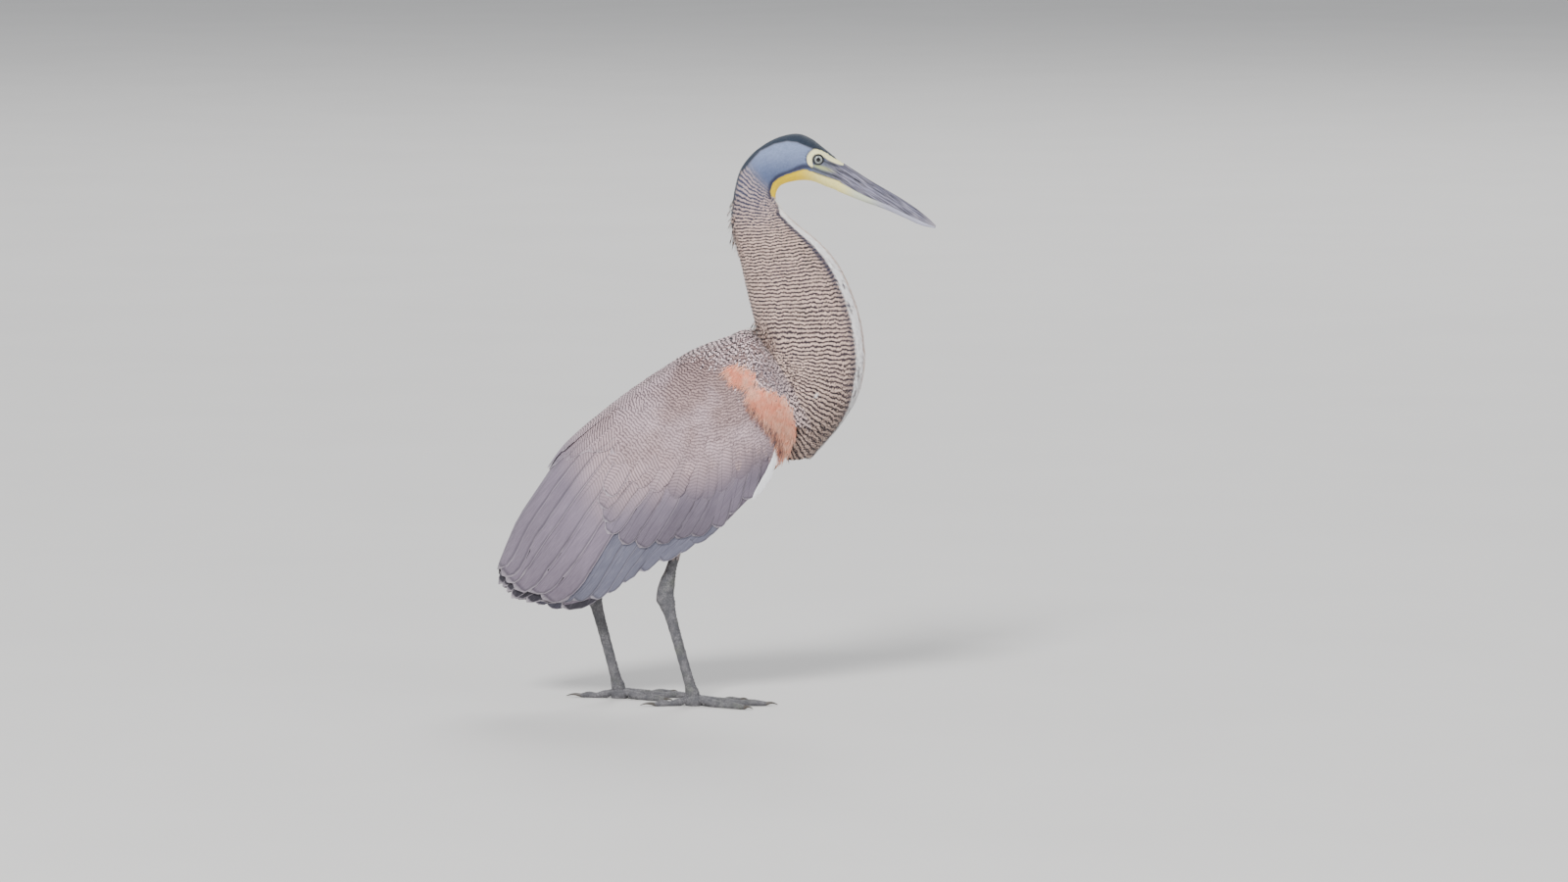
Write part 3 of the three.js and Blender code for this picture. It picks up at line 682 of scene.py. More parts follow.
def makeStage():
    camera = addObject("camera", bpy.data.cameras.new("camera"))
    camera.data.lens = stage["lens"]
    camera.data.sensor_width = stage["sensor"]
    camera.data.clip_end = stage["farthest"]
    tilt = math.radians(stage["elevation"])
    back = Vector((0, -math.cos(tilt), math.sin(tilt)))
    camera.location = (Vector(stage["aim"]) + back * stage["distance"]) * mm
    camera.rotation_euler = (-back).to_track_quat("-Z", "Y").to_euler()
    bpy.context.scene.camera = camera

    bm = bmesh.new()
    bmesh.ops.create_grid(bm, x_segments=4, y_segments=4, size=stage["floorSize"])
    f = Finish("paleFloor", Roughness=0.8)
    f.use(Base_Color=f.mix(f.noise(3), *stage["floor"]))
    addObject("floor", meshOf(bm, "floor"), f.material)

    world = bpy.data.worlds.new("studio")
    bpy.context.scene.world = world
    world.use_nodes = True
    background = world.node_tree.nodes["Background"]
    background.inputs["Color"].default_value = stage["world"]
    background.inputs["Strength"].default_value = stage["worldStrength"]
    for name, (place, size, power) in stage["lamps"].items():
        light = bpy.data.lights.new(name, "AREA")
        light.size, light.energy = size, power
        lamp = addObject(name, light)
        lamp.location = place
        lamp.rotation_euler = (Vector(stage["lampsAim"]) - Vector(place)).to_track_quat("-Z", "Y").to_euler()


makeStage()
print("stage made")


# Markings of the head and neck in the side view, the same on skin and coat.
face = {
    "capEdge": [(138, 551), (134.5, 551.5), (97.5, 568.4), (82.5, 574.6), (72.5, 575.6), (59.5, 572.7),
                (45.5, 565.6), (37.5, 557), (29, 546.5), (18, 532), (5, 560), (40, 600), (110, 600)],
    "barsStart": [(31, 550), (44, 533), (57, 522), (74, 517), (170, 505), (170, 230), (-60, 230), (-60, 560)],
    "stripe": [(97.6, 550.6, 1.4), (95.6, 555.0, 2.5), (96.2, 560.6, 2.8), (101.4, 564.8, 2.7),
               (109.6, 562.4, 2.5), (117, 557.6, 2.4), (126, 553.0, 1.6), (131.5, 550.4, 0.1)],
    "lores": [(98, 551.5), (112, 557), (122, 552.5), (133, 548.6), (132, 533.0), (118, 537.2), (104, 542.0),
              (97, 547)],
    "gular": [(132, 532.8), (118, 537.0), (104, 541.8), (97.5, 545.4), (91.5, 548.0), (75.5, 543.6),
              (66, 539.8), (58, 533.3), (55.4, 525), (57, 519.4), (66, 515), (76, 519), (90, 515),
              (140, 515)],
    "shoulder": [(38, 358), (60, 349), (77, 324), (70, 314), (55, 330), (40, 341)],
    "fleck": (102.5, 318.7, 1.6),
    "eyeRing": (104, 557, 5.7),
    "loreDark": [[(108.5, 556, 0.9), (118, 552, 1.3), (127, 548.6, 1.2), (136, 545, 0.9)],
                 [(96, 549.6, 0.8), (108, 544.8, 0.9), (120, 540.4, 1.0), (134, 535.4, 1.1)]],
    "lorePale": [(101, 551, 0.9), (110, 548, 1.7), (119, 545, 1.6), (127, 542, 0.8)],
    "underCheek": [(55.5, 518, 1.6), (54.8, 526, 1.9), (57.5, 534, 2.0), (64.5, 540.8, 1.8), (75, 545, 1.6),
                   (88, 550.2, 2.5), (96, 550, 2.0)],
    "stripeEdge": 1.1,  # how much wider than the pale stripe its slate edge is
    "leftShift": 1.7,  # by how much the foreneck's broken lines differ on the left side
}


# The marks of points on the head and neck. The front is how far round from the foreneck they lie.
def headMarks(points, front):
    x, z = points[..., 0], points[..., 2]
    onLeft = points[..., 1] > 0
    cap = inPatch(points, face["capEdge"], 1.2)
    nape = smooth(front, 2.6, 2.95) * smooth(z, 455, 505) * (1 - smooth(z, 555, 565))
    barred = inPatch(points, face["barsStart"], 11.0)
    bare = np.maximum(inPatch(points, face["gular"], 0.7), inStripe(points, face["stripe"], 0.6))
    ringX, ringZ, radius = face["eyeRing"]
    ring = 1 - smooth(np.hypot(x - ringX, z - ringZ) - radius, -0.4, 0.7)
    loreDark = np.maximum(*[inStripe(points, line, 0.9) for line in face["loreDark"]])
    # the white of the foreneck, broader at the throat, and one white fleck on the right
    halfWhite = 0.34 + 0.26 * (1 - smooth(z, 500, 512)) - 0.22 * (1 - smooth(z, 275, 330))
    white = smooth(halfWhite - front, -0.05, 0.05) * (1 - smooth(z, 515, 521)) * (1 - bare)
    fleckX, fleckZ, radius = face["fleck"]
    far = np.hypot(x - fleckX, z - fleckZ) + 9.0 * onLeft
    white = np.maximum(white, 1 - smooth(far, radius - 0.5, radius + 0.5))
    # rufous down the middle of the foreneck, and a broken dark line to each side of it
    streak = (1 - smooth(front, 0.17, 0.3)) * smooth(z, 300, 350) * (1 - smooth(z, 490, 508)) * 0.7
    shift = face["leftShift"] * onLeft
    broken = smooth(np.sin(z / 6.1 + 2.6 * np.sin(z / 17 + shift) + shift), -0.1, 0.6)
    broken = broken * (1 - smooth(z, 430, 465))
    dark = 1 - smooth(np.abs(front - 0.47 - 0.06 * np.sin(z / 9 + shift)), 0.02, 0.06)
    dark = dark * broken * white * 0.85
    # slate beside the white, round the bare skin, under the cheek and at the shoulder
    edging = smooth(halfWhite + 0.19 - front, -0.04, 0.08) * (1 - white) * (1 - smooth(z, 500, 520))
    edging = edging * (0.38 + 0.47 * smooth(z, 415, 450))
    wider = [(*point[:2], point[2] + face["stripeEdge"]) for point in face["stripe"]]
    edging = np.maximum(edging, inStripe(points, wider, 0.7) * (1 - bare) * 0.8)
    edging = np.maximum(edging, inPatch(points, face["shoulder"], 7.0) * 0.26)
    edging = np.maximum(edging, inStripe(points, face["underCheek"], 1.6) * (1 - bare) * 0.85)
    return {
        "cap": np.maximum(cap * (1 - barred * (1 - smooth(z, 538, 548))), nape),
        "bars": barred,
        "cheek": np.maximum(1 - np.maximum(barred, cap), 0.4 * smooth(z, 478, 530) * (1 - cap)),
        "bare": bare,
        "lores": inPatch(points, face["lores"], 1.2) * (1 - bare),
        "ring": ring,
        "loreDark": loreDark * (1 - smooth(x, 119, 131)),
        "lorePale": inStripe(points, face["lorePale"], 1.6),
        "white": white * (1 - dark),
        "edging": np.maximum(edging, dark),
        "streak": streak * white,
    }


# how far along the neck a place is, counted so that the bars lie closer on its upper part
fineSections = np.linspace(0, 19, 400)
barPitch = 3.4 + 1.2 * smooth(fineSections[1:], 10.5, 15.5)
neckLength = distances(headNeck.sections(fineSections)[0], plumage["period"] / barPitch)


def lengthAt(section):
    return np.interp(section, fineSections, neckLength)


# the bars fan out round this place low on the neck, and the feathers lie square to them
fan = {"at": (22, 366), "from": 14.4, "to": 16.2, "radius": 92}


def roundFan(points):
    dx, dz = points[..., 0] - fan["at"][0], points[..., 2] - fan["at"][1]
    return dx, dz, np.maximum(np.hypot(dx, dz), 1.0)


def neckWays(section, points, along):
    dx, dz, far = roundFan(points)
    turned = np.stack([dz / far, 0 * far, -dx / far], -1)
    share = smooth(section, fan["from"], fan["to"])[..., None]
    return unit(along) * (1 - share) + turned * share


# where the bars fall: by the way along the neck, and low down by the turn round the fan's place
def barsAt(section, points):
    turnsAt = (fan["from"] + fan["to"]) / 2
    dx, dz, _ = roundFan(headNeck(turnsAt, math.pi / 2))
    start = lengthAt(turnsAt) - fan["radius"] * math.atan2(-dz, dx)
    dx, dz, _ = roundFan(points)
    share = smooth(section, fan["from"], fan["to"])
    onNeck = lengthAt(section) + plumage["slope"] * headNeck.height(section, points)
    return onNeck * (1 - share) + (start + fan["radius"] * np.arctan2(-dz, dx)) * share


skinLook = {
    "grow": [(0, -0.45), (1, -0.6), (8, -1.2), (10, -2.6), (19, -4)],  # at sections of the head and neck
    "headTo": 9,
    "neckTo": 19,
    "headRings": 150,
    "neckRings": 60,
    "around": 112,
    "torso": (0.1, 9.6),
    "torsoGrow": -4,
    "torsoRings": 60,
    "torsoAround": 64,
}
eyeLook = {
    "at": (104, 8.7, 557),
    "radius": 7.0,
    "turn": 0.24,
    "gaze": 0.05,
    "lid": 8.35,
    "lidShape": (1, 0.76, 0.94),
    "socket": 0.12,  # how much wider than the eyeball its socket is
    "segments": (40, 24),
}
gapeLook = {"size": (31, 5, 0.8), "slope": 0.36, "turn": 0.216, "at": (113, 11.9, 539.2)}


def atEye(side, scale=(1, 1, 1)):
    turn = Matrix.Rotation(-side * eyeLook["turn"], 4, "Z")
    return Matrix.Translation(onSide(side, eyeLook["at"])) @ turn @ Matrix.Diagonal((*scale, 1))


def makeSkin():
    head = np.linspace(0, skinLook["headTo"], skinLook["headRings"])[:-1]
    places = np.r_[head, np.linspace(skinLook["headTo"], skinLook["neckTo"], skinLook["neckRings"])]
    at, grow = zip(*skinLook["grow"])
    bm = bmesh.new()
    loft(bm, headNeck, places, skinLook["around"], np.interp(places, at, grow))
    skin = meshOf(bm, "skin")
    bm = bmesh.new()
    places = np.linspace(*skinLook["torso"], skinLook["torsoRings"])
    loft(bm, torso, places, skinLook["torsoAround"], skinLook["torsoGrow"])
    skin = combined(skin, meshOf(bm, "torsoShape"), "UNION")
    upright = Matrix.Rotation(math.pi / 2, 4, "X")
    socketRadius = eyeLook["radius"] + eyeLook["socket"]
    for side in sides.values():
        around = atEye(side, eyeLook["lidShape"]) @ upright
        lid = sphere("lid", around, eyeLook["lid"] * mm, eyeLook["segments"])
        skin = combined(skin, lid, "UNION")
        socket = sphere("socket", atEye(side) @ upright, socketRadius * mm, eyeLook["segments"])
        skin = combined(skin, socket, "DIFFERENCE")
        bm = bmesh.new()
        bmesh.ops.create_cube(bm, size=1)
        bmesh.ops.scale(bm, vec=Vector(gapeLook["size"]) * mm, verts=bm.verts)
        for angle, axis in ((gapeLook["slope"], "Y"), (-side * gapeLook["turn"], "Z")):
            bmesh.ops.rotate(bm, matrix=Matrix.Rotation(angle, 3, axis), verts=bm.verts)
        bmesh.ops.translate(bm, vec=onSide(side, gapeLook["at"]), verts=bm.verts)
        skin = combined(skin, meshOf(bm, "gape"), "DIFFERENCE")
    skin.name = "skin"
    return skin


skinMesh = makeSkin()
bodyTree = BVHTree.FromPolygons(
    [vert.co[:] for vert in skinMesh.vertices], [tuple(face.vertices) for face in skinMesh.polygons])


# which places stand clear of the skin, and aren't buried where two parts of the body meet
def standsClear(points, least):
    keep = np.zeros(len(points), bool)
    for i, point in enumerate(points):
        spot = Vector(point) * mm
        found, normal, _, _ = bodyTree.find_nearest(spot)
        keep[i] = (spot - found).dot(normal) > least * mm
    return keep


skinFinish = {
    "yellow": colour(252, 214, 0),
    "lemon": colour(252, 241, 158),
    "cream": colour(253, 247, 196),
    "green": colour(196, 204, 130),
    "lores": colour(92, 104, 118),
    "billGrey": colour(112, 114, 132),
    "rim": colour(34, 36, 42),
}

billColours = {
    "grey": colour(132, 130, 152),
    "streak": colour(26, 26, 40),
    "culmen": colour(60, 58, 76),
    "horn": colour(196, 188, 196),
    "lemon": colour(252, 241, 158),
    "green": colour(214, 220, 196),
    "lowerGrey": colour(186, 186, 206),
}


# streaks along the bill, dark or light, that run on over the bare skin before the eye
def billStreaks(f):
    (x0, z0), (x1, z1) = (131.2, 551.6), (225.2, 487.6)  # the two ends of the culmen
    slope = -math.atan2(z0 - z1, x1 - x0)
    fine = f.streaks(500, slope, (0.12, 1.0, 4.0))
    return f.streaks(240, slope, (0.16, 1.0, 6.5)).between(0.43, 0.53), fine


def streakedHorn(f, streaks, fine):
    base = f.mix(streaks * 0.85, billColours["grey"], billColours["streak"])
    return f.mix(fine.between(0.5, 0.62) * 0.35, base, billColours["horn"])


def skinMaterial():
    f = Finish("skinAndDown", Roughness=0.55, Specular_IOR_Level=0.4)
    bar = barWave(f, plumage["period"], f.noise(210, 2) * 1.6) * 1.5 + 0.42
    base = f.mix(bar.clamped(), plumage["barDark"], plumage["barPale"])
    base = f.marked(plumage["down"], {
        "bars": base, **{name: plumage[name] for name in ("cheek", "edging", "white", "streak", "cap")}})
    x, _, z = f.axes()
    mottle = f.noise(380, 4)
    gular = f.mix(x.between(0.080, 0.112), skinFinish["yellow"], skinFinish["lemon"])
    stripe = f.mix(mottle * 0.5, skinFinish["cream"], skinFinish["lemon"])
    lores = f.mix(mottle, skinFinish["lores"], skinFinish["billGrey"])
    lores = f.mix(f.mark("lorePale") * 0.8, lores, skinFinish["green"])
    lores = f.mix(x.between(0.104, 0.126), lores, streakedHorn(f, *billStreaks(f)))
    base = f.marked(base, {"lores": lores, "bare": f.mix(z.between(0.5485, 0.5505), gular, stripe)})
    base = f.mix(f.mark("loreDark") * (0.5 + mottle * 0.6), base, skinFinish["rim"])
    base = f.marked(base, {"ring": skinFinish["rim"]})
    pores = f.node("ShaderNodeTexVoronoi", None, {"Vector": f.place(), "Scale": 1500.0})
    height = pores * 0.6 + f.noise(500, 4) * 0.8
    return f.use(Base_Color=f.shaded(base, 0.84 + mottle * 0.32), Normal=f.bump(height, 0.5, 0.0003),
                 Roughness=0.42 + f.noise(260) * 0.25)


# The places on a chart that lie nearest to points, out of a grid of sections and rounds.
def nearestOn(chart, sections, rounds, points):
    sections, rounds = np.meshgrid(sections, rounds, indexing="ij")
    near = chart(sections, rounds).reshape(-1, 3)
    tree = KDTree(len(near))
    for i, point in enumerate(near):
        tree.insert(Vector(point), i)
    tree.balance()
    found = np.array([tree.find(point)[1] for point in points])
    return sections.ravel()[found], rounds.ravel()[found], near[found]


def skinMarks(mesh):
    points = pointsOf(mesh)
    onRight = np.stack([points[:, 0], -abs(points[:, 1]), points[:, 2]], -1)
    rounds = -np.linspace(0, math.pi, 48)
    section, round_, near = nearestOn(headNeck, np.linspace(0, 19, 300), rounds, onRight)
    onNeck = 1 - smooth(np.linalg.norm(near - onRight, axis=-1), 6, 9)
    marks = {name: values * onNeck for name, values in headMarks(points, math.pi + round_).items()}
    addMarks(mesh, {**marks, "barPhase": barsAt(section, points)})


def addCoat(name, mesh, material, slot, *nodes):
    piece = addObject(name, mesh, material)
    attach(piece, "root")
    if nodes:
        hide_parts(*nodes)
    print(name, "made,", sum(len(face.vertices) - 2 for face in mesh.polygons), "triangles")


skinMarks(skinMesh)
addCoat("skin", skinMesh, skinMaterial(), "barred_plumage", "head", "neck_upper", "neck_lower", "torso")


# An unwrap that lays a whole round of the body beside the next, within a small margin.
def roundUnwrap(sections):
    whole = np.array([sections, 2 * math.pi])
    return lambda roots: (roots / whole + (0, 0.5))[:, ::-1] * 0.96 + 0.02


# Each stretch of the coat: its sections, the pitch along and across, and the length and width at each end.
neckCoats = {
    "coat_head": {
        "from": (0.75, 8.7), "pitch": (1.35, 1.2), "length": (3.8, 7.0), "width": (1.7, 2.4), "seed": 11,
        "slot": "slate_plumage",
        "look": {"root": -0.8, "tip": 0.12, "camber": 0.06, "roll": 0.02, "stray": 0.04, "bend": 0.15},
    },
    "coat_nape": {
        "from": (8.6, 12.2), "pitch": (2.1, 1.7), "length": (7.5, 9.5), "width": (2.4, 2.8), "seed": 12,
        "look": {"root": -1.7, "tip": 0.3, "camber": 0.16, "roll": 0.06, "stray": 0.2, "bend": 0.3,
                 "chevron": 0.8},
    },
    "coat_neck": {
        "from": (12.1, 15.6), "pitch": (2.5, 1.9), "length": (9.5, 12), "width": (2.8, 3.2), "seed": 13,
        "look": {"root": -2.0, "tip": 0.4, "camber": 0.2, "roll": 0.06, "stray": 0.25, "bend": 0.4,
                 "chevron": 0.8},
    },
    "coat_breast": {
        "from": (15.5, 19.0), "pitch": (2.9, 2.1), "length": (12, 9), "width": (3.2, 3.6), "seed": 14,
        "look": {"root": -2.4, "tip": 0.7, "camber": 0.24, "roll": 0.07, "stray": 0.35, "bend": 0.6,
                 "chevron": 0.7},
    },
}
barredPlumage = bodyPlumage()


# A stretch of the coat, left off where the skin is bare or buried.
def headNeckCoat(name, coat):
    low, high = coat["from"]
    at = lambda key, section: coat[key][0] + (coat[key][1] - coat[key][0]) * (section - low) / (high - low)
    rng = np.random.default_rng(coat["seed"])
    roots = scattered(headNeck, coat["from"], (-math.pi, math.pi), lambda section: coat["pitch"], rng)
    points = headNeck(*roots.T)
    along, _ = headNeck.runs(*roots.T)
    ends = points + unit(along) * at("length", roots[:, :1]) * 0.7
    bare = 0
    for place in (points, ends):
        marks = headMarks(place, math.pi - np.abs(roots[:, 1]))
        bare = np.maximum(bare, marks["bare"] + marks["lores"] + marks["ring"])
    keep = (bare < 0.4) & standsClear(points, 0.15)
    roots, points, along = roots[keep], points[keep], along[keep]
    lengths = at("length", roots[:, 0]) * rng.uniform(0.85, 1.15, len(roots))
    tips = tipsOf(headNeck, roots, neckWays(roots[:, 0], points, along), lengths)
    widths = at("width", roots[:, 0]) * rng.uniform(0.85, 1.15, len(roots))
    phases = barsAt(roots[:, 0], points) + rng.normal(0, 0.25, len(roots))
    unwrap = roundUnwrap(19.5)
    mesh = vanes(name, headNeck, roots, tips, widths, smallVane, coat["look"], rng, unwrap, phases)
    marks = headMarks(pointsOf(mesh), perVertex(math.pi - np.abs(roots[:, 1]), smallVane))
    for bareMark in ("bare", "lores", "ring", "loreDark", "lorePale"):
        marks.pop(bareMark)
    marks["streak"] = marks["streak"] * (0.5 + 0.5 * perVertex(rng.random(len(roots)), smallVane))
    addMarks(mesh, marks)
    addCoat(name, mesh, barredPlumage, coat.get("slot", "barred_plumage"))


for name, coat in neckCoats.items():
    headNeckCoat(name, coat)


# Wings: a thin base under tiers of vanes, with small coverts over the shoulder.
wingBase = {"to": 9.2, "steps": (60, 40), "lift": -2.6, "depth": 3.0, "inside": (-0.03, 0, 0.29)}
wingTiers = {
    "primaries": {
        "count": 8, "width": 20, "lift": (-4.2, -3.9), "tip": 0.26, "grey": 0.2, "scallop": 1.0,
        "roots": [(5.4, 0.36), (5.2, 0.62), (4.8, 0.84)],
        "tips": [(10.58, 0.3), (10.7, 0.58), (10.42, 0.84), (9.3, 1.0)],
    },
    "secondaries": {
        "count": 9, "width": 21, "lift": (-3.4, -2.2), "tip": 0.2, "grey": 1.0,
        "roots": [(5.6, 0.68), (4.2, 0.84), (2.6, 0.9)],
        "tips": [(9.35, 0.93), (7.9, 0.975), (6.4, 0.985), (5.0, 0.985)],
    },
    "tertials": {
        "count": 6, "width": 32, "lift": (-3.0, -0.7), "tip": 0.22,
        "roots": [(5.0, 0.22), (5.0, 0.42), (4.8, 0.6)],
        "tips": [(10.3, 0.12), (10.4, 0.42), (10.18, 0.68), (9.7, 0.87)],
    },
    "greaterCoverts": {
        "count": 12, "width": 24, "lift": (-2.8, -0.6), "tip": 0.24, "grey": 0.15,
        "roots": [(4.9, 0.46), (4.7, 0.66), (3.3, 0.78), (1.7, 0.78)],
        "tips": [(6.5, 0.6), (6.9, 0.76), (6.1, 0.92), (4.5, 0.965), (2.7, 0.975)],
    },
    "medianCoverts": {
        "count": 14, "width": 23, "lift": (-2.2, -1.3), "tip": 0.3, "outlined": 0.3,
        "roots": [(4.3, 0.34), (3.6, 0.54), (2.4, 0.62), (0.9, 0.62)],
        "tips": [(6.0, 0.5), (5.6, 0.68), (4.2, 0.85), (2.6, 0.88), (1.3, 0.9)],
    },
    "scapulars": {
        "count": 9, "width": 22, "lift": (-2.2, -1.5), "tip": 0.3, "outlined": 0.5,
        "roots": [(3.2, 0.04), (2.6, 0.22), (2.2, 0.4)],
        "tips": [(7.6, 0.05), (7.1, 0.2), (6.4, 0.36), (5.8, 0.5)],
    },
    "scapularsMiddle": {
        "count": 10, "width": 21, "lift": (-1.8, -0.7), "tip": 0.34, "outlined": 0.3,
        "roots": [(2.4, 0.03), (2.0, 0.2), (1.7, 0.36)],
        "tips": [(5.9, 0.04), (5.4, 0.19), (4.8, 0.34), (4.3, 0.46)],
    },
    "scapularsLoose": {
        "count": 2, "width": 15, "lift": (-1.8, 0.9), "tip": 0.3,
        "roots": [(4.9, 0.05), (4.7, 0.12)],
        "tips": [(7.6, 0.03), (7.1, 0.1)],
    },
}
wingLook = {
    "camber": 0.4, "tilt": 0.06, "stray": 0.12, "thick": 0.4, "shaft": 0.2, "fray": 0.08, "bend": 1.5,
    "chevron": 0.4, "sharp": 60,
}
coverts = {
    "from": (0.1, 5.0),
    "pitch": [(3.8, 2.7), (6.4, 5.6)],
    "length": (14, 27),
    "width": (4.8, 11.0),
    "look": {"root": -1.7, "tip": 0.3, "camber": 0.22, "roll": 0.03, "stray": 0.1, "chevron": 0.25,
             "bend": 0.5},
}
wingColours = {
    "pale": colour(226, 198, 204),
    "bar": colour(40, 28, 36),
    "brown": colour(178, 148, 144),
    "plain": colour(152, 138, 156),
    "slate": colour(128, 128, 148),
    "dark": colour(58, 54, 66),
    "fringe": colour(206, 196, 206),
    "period": 3.4,
    "perSection": 38,  # the way along a wing for each section, by which its bars are counted
    "streakSlope": 52,
}


def wingPlumage():
    f = Finish("wingPlumage", Roughness=0.66, Specular_IOR_Level=0.32, **sheen(0.15, 0.5))
    wave = barWave(f, wingColours["period"], f.noise(230, 2) * 1.7 + f.noise(60, 1) * 2.4)
    barred = f.mark("barred")
    unbarred = 1 - barred
    bar = (wave * 1.1 + f.noise(300, 2) * 0.9 - 0.05).clamped() * barred
    broad = f.noise(16, 2)
    plain = f.mix(f.mark("grey"), wingColours["plain"], wingColours["slate"])
    warm = f.mix(f.mark("brown") * broad.between(0.36, 0.6), wingColours["pale"], wingColours["brown"])
    base = f.mix(barred, plain, warm)
    base = f.mix((bar * (0.28 + broad * 0.4 + f.mark("bold") * 0.34)).clamped(), base, wingColours["bar"])
    alongVane, edge, outlined = f.mark("alongVane"), f.mark("edge"), f.mark("outlined")
    base = f.mix(f.mark("scallop") * alongVane.between(0.55, 0.72), base, wingColours["dark"])
    # a pale rim round each vane, clearest at its tip, with a painted shadow line inside it where the feathers
    # part
    rim = edge.between(0.9, 0.985)
    base = f.mix(edge.between(0.76, 0.9) * (1 - rim) * outlined * 0.5, base, wingColours["dark"])
    clear = 0.28 + f.mark("tone") * 0.1 + f.mark("scallop") * 0.3 + alongVane.between(0.82, 0.96) * 0.4
    base = f.mix(rim * outlined * clear, base, wingColours["fringe"])
    shaft = 1 - f.mark("aside").size().between(0.12, 0.5)
    base = f.mix(shaft * (0.4 + outlined * 0.06), base, wingColours["dark"])
    streak = f.streaks(320, math.radians(wingColours["streakSlope"]), (0.09, 1.0, 4.2))
    base = f.mix(streak.between(0.5, 0.62) * unbarred * 0.15, base, wingColours["dark"])
    base = f.mix((1 - streak.between(0.36, 0.48)) * unbarred * 0.12, base, wingColours["fringe"])
    line = barbs(f)
    shade = 0.5 + f.mark("tone") * 0.08 + f.noise(650, 3) * 0.16 + line * 0.08 + broad * 0.36
    # the colour is scaled by the painted shade and light of each part of the wing
    return f.use(Base_Color=f.shaded(base, shade * f.mark("paintedShading")), Normal=f.bump(line, 0.3, 0.0002))


wingMaterial = wingPlumage()


def wingUnwrap(roots):
    return np.stack([roots[:, 1] * 0.4 + 0.05, roots[:, 0] / 12], -1)


def wingMarks(mesh, sections, downs, grey=0.0, scallop=0.0, outlined=0.0):
    above = 1 - smooth(downs - (1.02 - 0.04 * sections), -0.16, 0.0)
    # painted shade and light: darker toward the tip and along the lower edge, lighter on the uppermost vanes,
    # as if lit from above
    paintedShading = 1.0 - 0.16 * smooth(sections + 2 * downs, 3, 9) + 0.06 * smooth(-downs, -0.4, 0)
    paintedShading = paintedShading - 0.16 * smooth(sections, 7.4, 9.6)
    paintedShading = paintedShading + 0.4 * (1 - smooth(downs, 0.015, 0.05)) * smooth(sections, 5, 7)
    paintedShading = paintedShading - 0.28 * smooth(downs, 0.68, 0.9) * (1 - smooth(sections, 6, 8)) * (1 - grey)
    addMarks(mesh, {
        "barred": (1 - smooth(sections, 6.0, 7.4)) * above * (1 - grey),
        "brown": smooth(-sections, -8, -2) * (1 - 0.5 * smooth(downs, 0.35, 0.8)),
        "grey": grey,
        "scallop": scallop,
        "outlined": outlined,
        "bold": smooth(-downs, -0.5, -0.12),
        "paintedShading": paintedShading,
    })


# the section where the wing begins at a share of the way down it, furthest forward by a reach halfway down
def wingFront(down, reach):
    return 1.5 - reach * np.sin(math.pi * np.clip(down * 1.05, 0, 1)) ** 0.8


def makeWingBase(name):
    bm = bmesh.new()
    bmesh.ops.create_grid(bm, x_segments=wingBase["steps"][0], y_segments=wingBase["steps"][1], size=0.5)
    shares = np.array([vert.co[:] for vert in bm.verts]) + 0.5
    first = wingFront(shares[:, 1], 1.35)
    section = first + (wingBase["to"] - first) * shares[:, 0]
    lift = wingBase["lift"] - 0.8 * smooth(section, 6, 9)
    for vert, point in zip(bm.verts, wings[name](section, shares[:, 1] * 0.985, lift)):
        vert.co = point * mm
    bmesh.ops.recalc_face_normals(bm, faces=bm.faces)
    inside = Vector(wingBase["inside"])
    middle = min(bm.faces, key=lambda face: (face.calc_center_median() - inside).length)
    if middle.normal.y * sides[name] < 0:
        bmesh.ops.reverse_faces(bm, faces=bm.faces)
    bmesh.ops.solidify(bm, geom=bm.faces[:], thickness=wingBase["depth"] * mm)
    mesh = meshOf(bm, f"wing_base_{name}", 50)
    sections, downs, _ = nearestOn(
        wings[name], np.linspace(-0.5, 11, 180), np.linspace(-0.1, 1.1, 60), pointsOf(mesh))
    wingMarks(mesh, sections, downs)
    addMarks(mesh, {"barPhase": sections * wingColours["perSection"], "aside": 5.0})
    addCoat(f"wing_base_{name}", mesh, wingMaterial, "flight_plumage", f"wing_{name}")


tierMarks = {"grey": 0.0, "scallop": 0.0, "outlined": 1.0}  # what holds for a tier that doesn't say


# A row of large vanes, with roots and tips along two lines on a chart.
def tierVanes(title, chart, tier, look, seed, material, slot):
    rng = np.random.default_rng(seed)
    share = np.linspace(0, 1, tier["count"])
    roots = splineAt(tier["roots"], share * (len(tier["roots"]) - 1))
    tips = splineAt(tier["tips"], share * (len(tier["tips"]) - 1))
    roots = roots + rng.normal(0, 0.004, roots.shape)
    tips = tips + rng.normal(0, 1, tips.shape) * (0.05, 0.006)
    widths = tier["width"] * rng.uniform(0.94, 1.06, tier["count"])
    pattern = largeVane(tier["tip"])
    fullLook = {**look, "root": tier["lift"][0], "tip": tier["lift"][1], "patch": (0.9 / tier["count"], 0.96)}
    # a large vane has a strip of its own on the unwrap, in the order in which they grow
    unwrap = lambda roots: np.stack([(np.arange(len(roots)) + 0.5) / len(roots), 0.5 + 0 * roots[:, 0]], -1)
    phases = roots[:, 0] * wingColours["perSection"]
    mesh = vanes(title, chart, roots, tips, widths, pattern, fullLook, rng, unwrap, phases)
    where = roots[:, None, :] + (tips - roots)[:, None, :] * pattern["along"][None, :, None]
    sections, downs = where.reshape(-1, 2).T
    wingMarks(mesh, sections, downs, *(tier.get(key, usual) for key, usual in tierMarks.items()))
    addCoat(title, mesh, material, slot)


# which way the small feathers of the wing lie: straight down at the shoulder, along the back above
def wingWays(section, down):
    angle = 38 + 52 * smooth(-section, -5.8, -0.6) * smooth(down, 0.0, 0.34) + 14 * smooth(down, 0.1, 0.6)
    angle = np.radians(np.minimum(angle, 90))
    return np.stack([-np.cos(angle), 0 * angle, -np.sin(angle)], -1)


